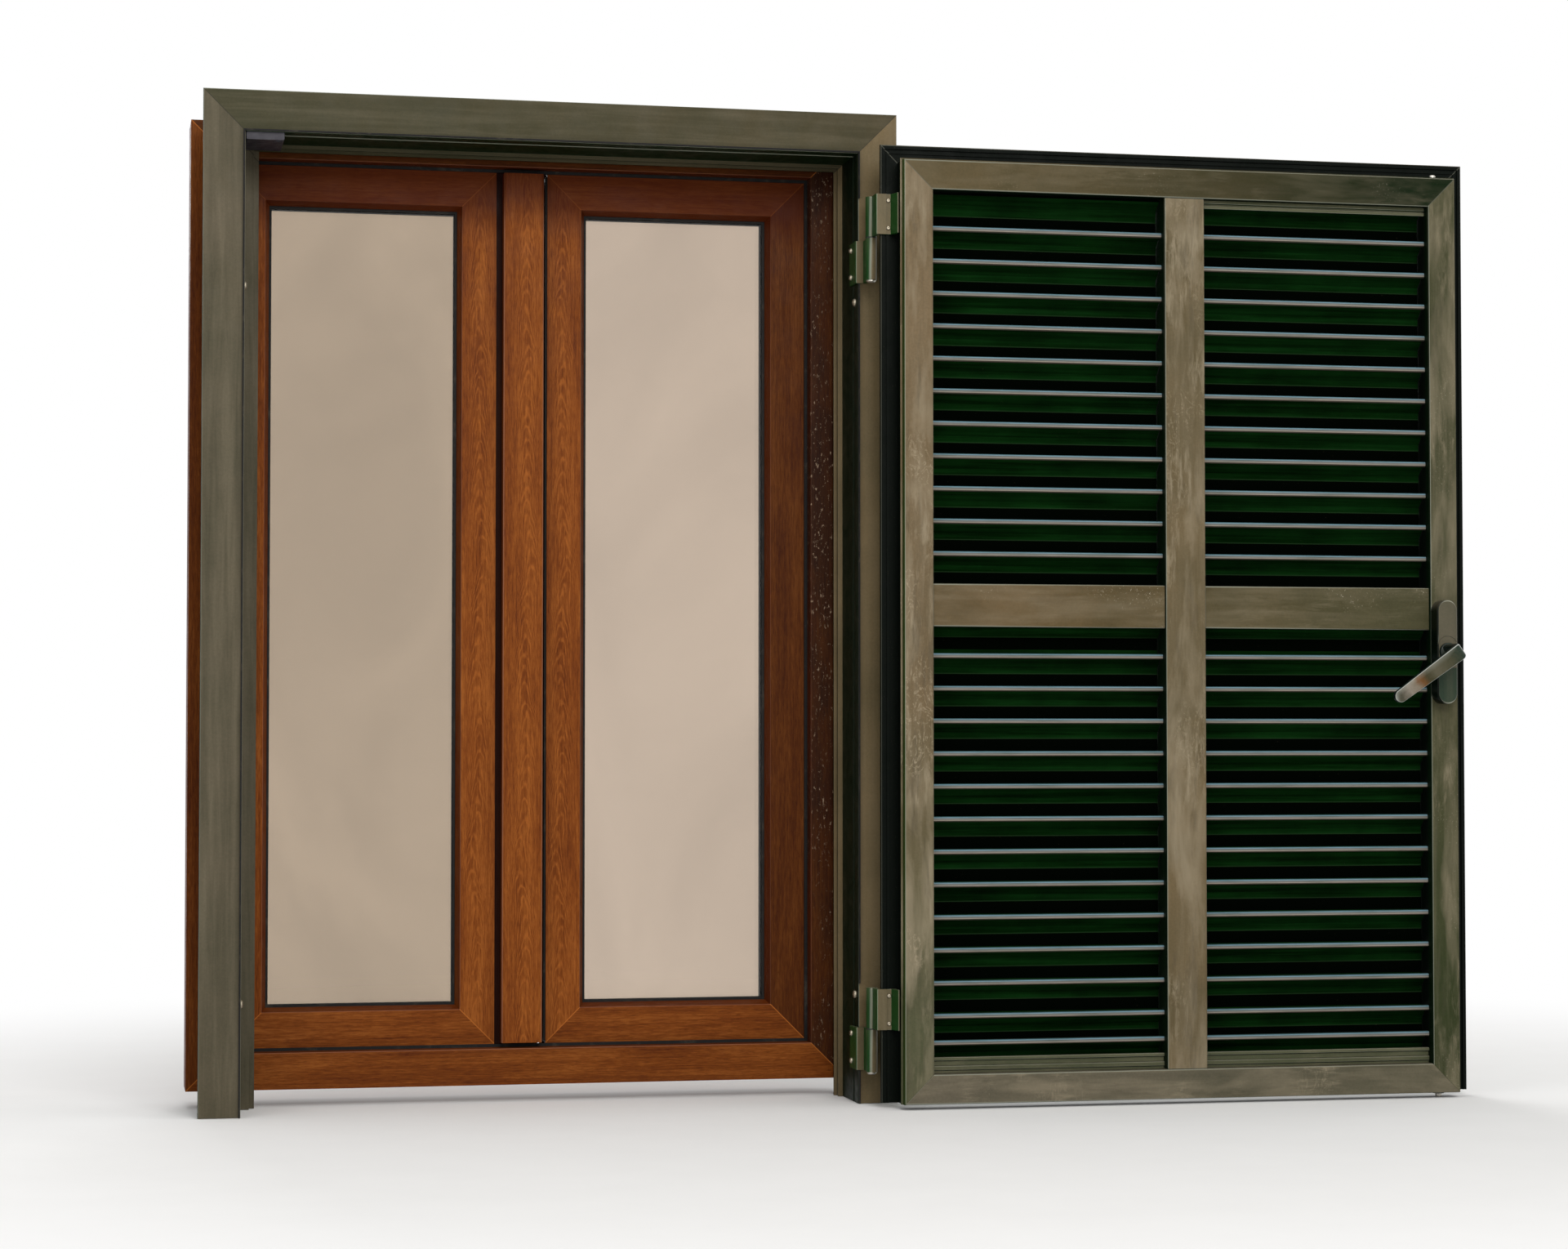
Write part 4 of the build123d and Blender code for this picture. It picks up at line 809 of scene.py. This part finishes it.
def lever_sections(made):
    """Cross-sections of the level lever, with its pivot at x = 0: round tip, tapered bar, bend and neck."""
    tip = TIP_WIDTH / 2
    bar_start = -LEVER_LENGTH + tip
    neck_left, neck_right = -NECK_THICK / 2, NECK_THICK / 2
    front_end, back_end = neck_right - BEND_OUTER, neck_left - BEND_INNER
    rings = []
    for step in range(1, TIP_STEPS + 1):
        turn = pi / 2 * step / TIP_STEPS
        x = -LEVER_LENGTH + tip * (1 - cos(turn))
        width = TIP_WIDTH * sin(turn)
        rings.append(lever_section(made, (x, LEVER_FRONT), (x, LEVER_BACK), width, BAR_CORNER))
    for step in range(1, BAR_STEPS + 1):
        share = step / BAR_STEPS
        front = (bar_start + (front_end - bar_start) * share, LEVER_FRONT)
        back = (bar_start + (back_end - bar_start) * share, LEVER_BACK)
        width = TIP_WIDTH + (ROOT_WIDTH - TIP_WIDTH) * share
        corner = BAR_CORNER + (BEND_CORNER - BAR_CORNER) * share ** 3
        rings.append(lever_section(made, front, back, width, corner))
    for step in range(1, BEND_STEPS + 1):
        share = step / BEND_STEPS
        turn = pi / 2 * share
        front = (front_end + BEND_OUTER * sin(turn), LEVER_FRONT + BEND_OUTER * (1 - cos(turn)))
        back = (back_end + BEND_INNER * sin(turn), LEVER_BACK + BEND_INNER * (1 - cos(turn)))
        corner = BEND_CORNER + (NECK_CORNER - BEND_CORNER) * share
        rings.append(lever_section(made, front, back, ROOT_WIDTH, corner))
    rings.append(lever_section(made, (neck_right, NECK_END), (neck_left, NECK_END), ROOT_WIDTH, NECK_CORNER))
    return rings


def cranked_lever(name):
    """The lever at rest: a tapered bar with a round tip, bent back to its rotor."""
    made = bmesh.new()
    loft(made, lever_sections(made))
    discs = []
    for r, y in ((ROTOR_RADIUS - ROTOR_CHAMFER, ROTOR_FRONT), (ROTOR_RADIUS, ROTOR_FRONT + ROTOR_CHAMFER),
                 (ROTOR_RADIUS, ROTOR_FRONT + ROTOR_THICK)):
        turns = (2 * pi * i / ROTOR_STEPS for i in range(ROTOR_STEPS))
        discs.append([made.verts.new((r * cos(turn), y, r * sin(turn))) for turn in turns])
    loft(made, discs)
    turned = Matrix.Translation((PIVOT_X, 0, PIVOT_Z)) @ Matrix.Rotation(LEVER_ANGLE, 4, Vector((0, -1, 0)))
    bmesh.ops.transform(made, matrix=turned, verts=made.verts)
    lever = new_piece(name, made, "shutter_handle_lever", lever_coat, sharp_from=50)
    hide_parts("shutter_handle_lever")


cranked_lever("shutter_lever_bar")

# ---------------------------------------------------------------- seal between the sashes

POST_FLANK = 0.0220  # x of the astragal post's side, into which the seal's foot is set
SEAL_TIP = 0.0311
SEAL_BACK = 0.044
FOOT_DEPTH = 0.0005
LIP_ROOT = POST_FLANK + 0.004
LIP_RADIUS = 0.0010


def lip_outline():
    """The seal's section in x and y: a foot 3.5 mm wide that narrows to a rounded lip."""
    tip = [(SEAL_TIP - LIP_RADIUS + LIP_RADIUS * cos(turn), SEAL_BACK - LIP_RADIUS + LIP_RADIUS * sin(turn))
           for turn in (pi * step / 8 for step in range(-4, 5))]
    return [(POST_FLANK - FOOT_DEPTH, SEAL_BACK - 0.0035), (LIP_ROOT, SEAL_BACK - 0.0028), *tip,
            (LIP_ROOT, SEAL_BACK - 0.0006), (POST_FLANK - FOOT_DEPTH, SEAL_BACK)]


def lip_seal(name, z_low, z_high):
    """A rubber strip that closes the joint between the sashes, from z_low up to z_high."""
    made = bmesh.new()
    loft(made, [[made.verts.new((x, y, z)) for x, y in lip_outline()] for z in (z_low, z_high)])
    new_piece(name, made, "sash_left", gasket_rubber)


meeting_low, meeting_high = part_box("sash_right_stile_meeting")
lip_seal("sash_meeting_seal", meeting_low.z, meeting_high.z)

# ---------------------------------------------------------------- stage, light and camera

FLOOR_SIZE = 60
FLOOR_GAP = 0.0005  # between the floor and the frame's feet
FLOOR_TONES = ((0.86, 0.855, 0.845), (0.90, 0.895, 0.885))
FLOOR_CENTRE = (0.38, -0.10, 0.0)
SHADOWED_TO, WHITE_FROM = 0.9, 2.0  # distances from the floor's centre
AMBIENT = 0.50
LIT_SPOT_X, LIT_SPOT_Z = 0.4, 0.5
# name: place, x that it is aimed at, width and height, watts, colour
LAMPS = {
    "key": ((0.7, -4.4, 2.9), LIT_SPOT_X, (2.4, 2.0), 112, (1.0, 0.985, 0.96)),
    "fill": ((-2.8, -3.2, 1.6), 0.2, (2.4, 2.4), 26, (0.96, 0.98, 1.0)),
    "top": ((0.4, -0.6, 3.6), LIT_SPOT_X, (3.0, 2.0), 26, (1.0, 1.0, 1.0)),
    "back": ((0.2, 4.4, 2.6), LIT_SPOT_X, (2.6, 2.2), 85, (1.0, 1.0, 1.0)),
}
# The photograph's view, from a least-squares fit of the frame, the reveal and the open leaf
IMAGE_WIDTH = 1920
FOCAL_PIXELS = 4029.7
SENSOR_WIDTH = 36.0
CAMERA_PLACE = (-0.5110, -4.0203, 0.4232)
CAMERA_UP, CAMERA_TURN = 1.925, -11.835  # degrees above level, and from the y axis


def seen_or_reflected(tree):
    """1 on rays that come from the camera, a reflection or a transmission."""
    path = tree.nodes.new("ShaderNodeLightPath")
    result = path.outputs["Is Camera Ray"]
    for name in ("Is Glossy Ray", "Is Transmission Ray"):
        larger = tree.nodes.new("ShaderNodeMath")
        larger.operation = "MAXIMUM"
        tree.links.new(result, larger.inputs[0])
        tree.links.new(path.outputs[name], larger.inputs[1])
        result = larger.outputs[0]
    return result


def stage_floor(z):
    """A pale floor that keeps the object's shadow and runs out into the white ground."""
    bpy.ops.mesh.primitive_plane_add(size=FLOOR_SIZE, location=(0, 0, z))
    floor = bpy.context.object
    floor.name = "floor"
    s = Shader("floor_paint", roughness=0.9, specular_ior_level=0.05)
    s.set(base_color=s.mix(s.noise(9, 5.0, 0.6), *FLOOR_TONES))
    distance = s.node("VectorMath", {0: s.place, 1: FLOOR_CENTRE}, operation="DISTANCE").outputs["Value"]
    fade = s.node("MapRange", {0: distance, 1: SHADOWED_TO, 2: WHITE_FROM}, interpolation_type="SMOOTHSTEP")
    glow = s.node("Emission", {"Color": (1.0, 1.0, 1.0), "Strength": 1.0})
    share = s.times(fade.outputs[0], seen_or_reflected(s.tree))
    blend = s.node("MixShader", {0: share, 1: s.surface.outputs[0], 2: glow.outputs[0]})
    s.link(blend.outputs[0], s.output.inputs["Surface"])
    floor.data.materials.append(s.material)


def area_light(name, place, aim_x, size, power, colour):
    """A soft lamp that no camera ray and no pane shows."""
    data = bpy.data.lights.new(name, "AREA")
    data.shape = "RECTANGLE"
    data.size, data.size_y = size
    data.energy = power
    data.color = colour
    light = bpy.data.objects.new(name, data)
    light.location = place
    aim = Vector((aim_x, 0, LIT_SPOT_Z)) - Vector(place)
    light.rotation_euler = aim.to_track_quat("-Z", "Y").to_euler()
    light.visible_camera = False
    light.visible_transmission = False
    bpy.context.scene.collection.objects.link(light)


def white_ground(strength_lit):
    """A world that looks white and lights the part more gently."""
    world = bpy.data.worlds.new("ground")
    bpy.context.scene.world = world
    world.use_nodes = True
    tree = world.node_tree
    tree.nodes.clear()
    strength = tree.nodes.new("ShaderNodeMapRange")
    strength.inputs["To Min"].default_value = strength_lit
    strength.inputs["To Max"].default_value = 1.0
    tree.links.new(seen_or_reflected(tree), strength.inputs["Value"])
    background = tree.nodes.new("ShaderNodeBackground")
    background.inputs["Color"].default_value = (1.0, 1.0, 1.0, 1)
    tree.links.new(strength.outputs[0], background.inputs["Strength"])
    output = tree.nodes.new("ShaderNodeOutputWorld")
    tree.links.new(background.outputs[0], output.inputs[0])


stage_floor(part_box("shutter_frame_jamb_left")[0].z - FLOOR_GAP)
white_ground(AMBIENT)
for name, settings in LAMPS.items():
    area_light(name, *settings)

camera_data = bpy.data.cameras.new("camera")
camera_data.sensor_width = SENSOR_WIDTH
camera_data.lens = FOCAL_PIXELS / IMAGE_WIDTH * SENSOR_WIDTH
camera = bpy.data.objects.new("camera", camera_data)
camera.location = CAMERA_PLACE
camera.rotation_euler = (radians(90 + CAMERA_UP), 0, radians(CAMERA_TURN))
bpy.context.scene.collection.objects.link(camera)
bpy.context.scene.camera = camera
bpy.context.scene.view_settings.view_transform = "Standard"
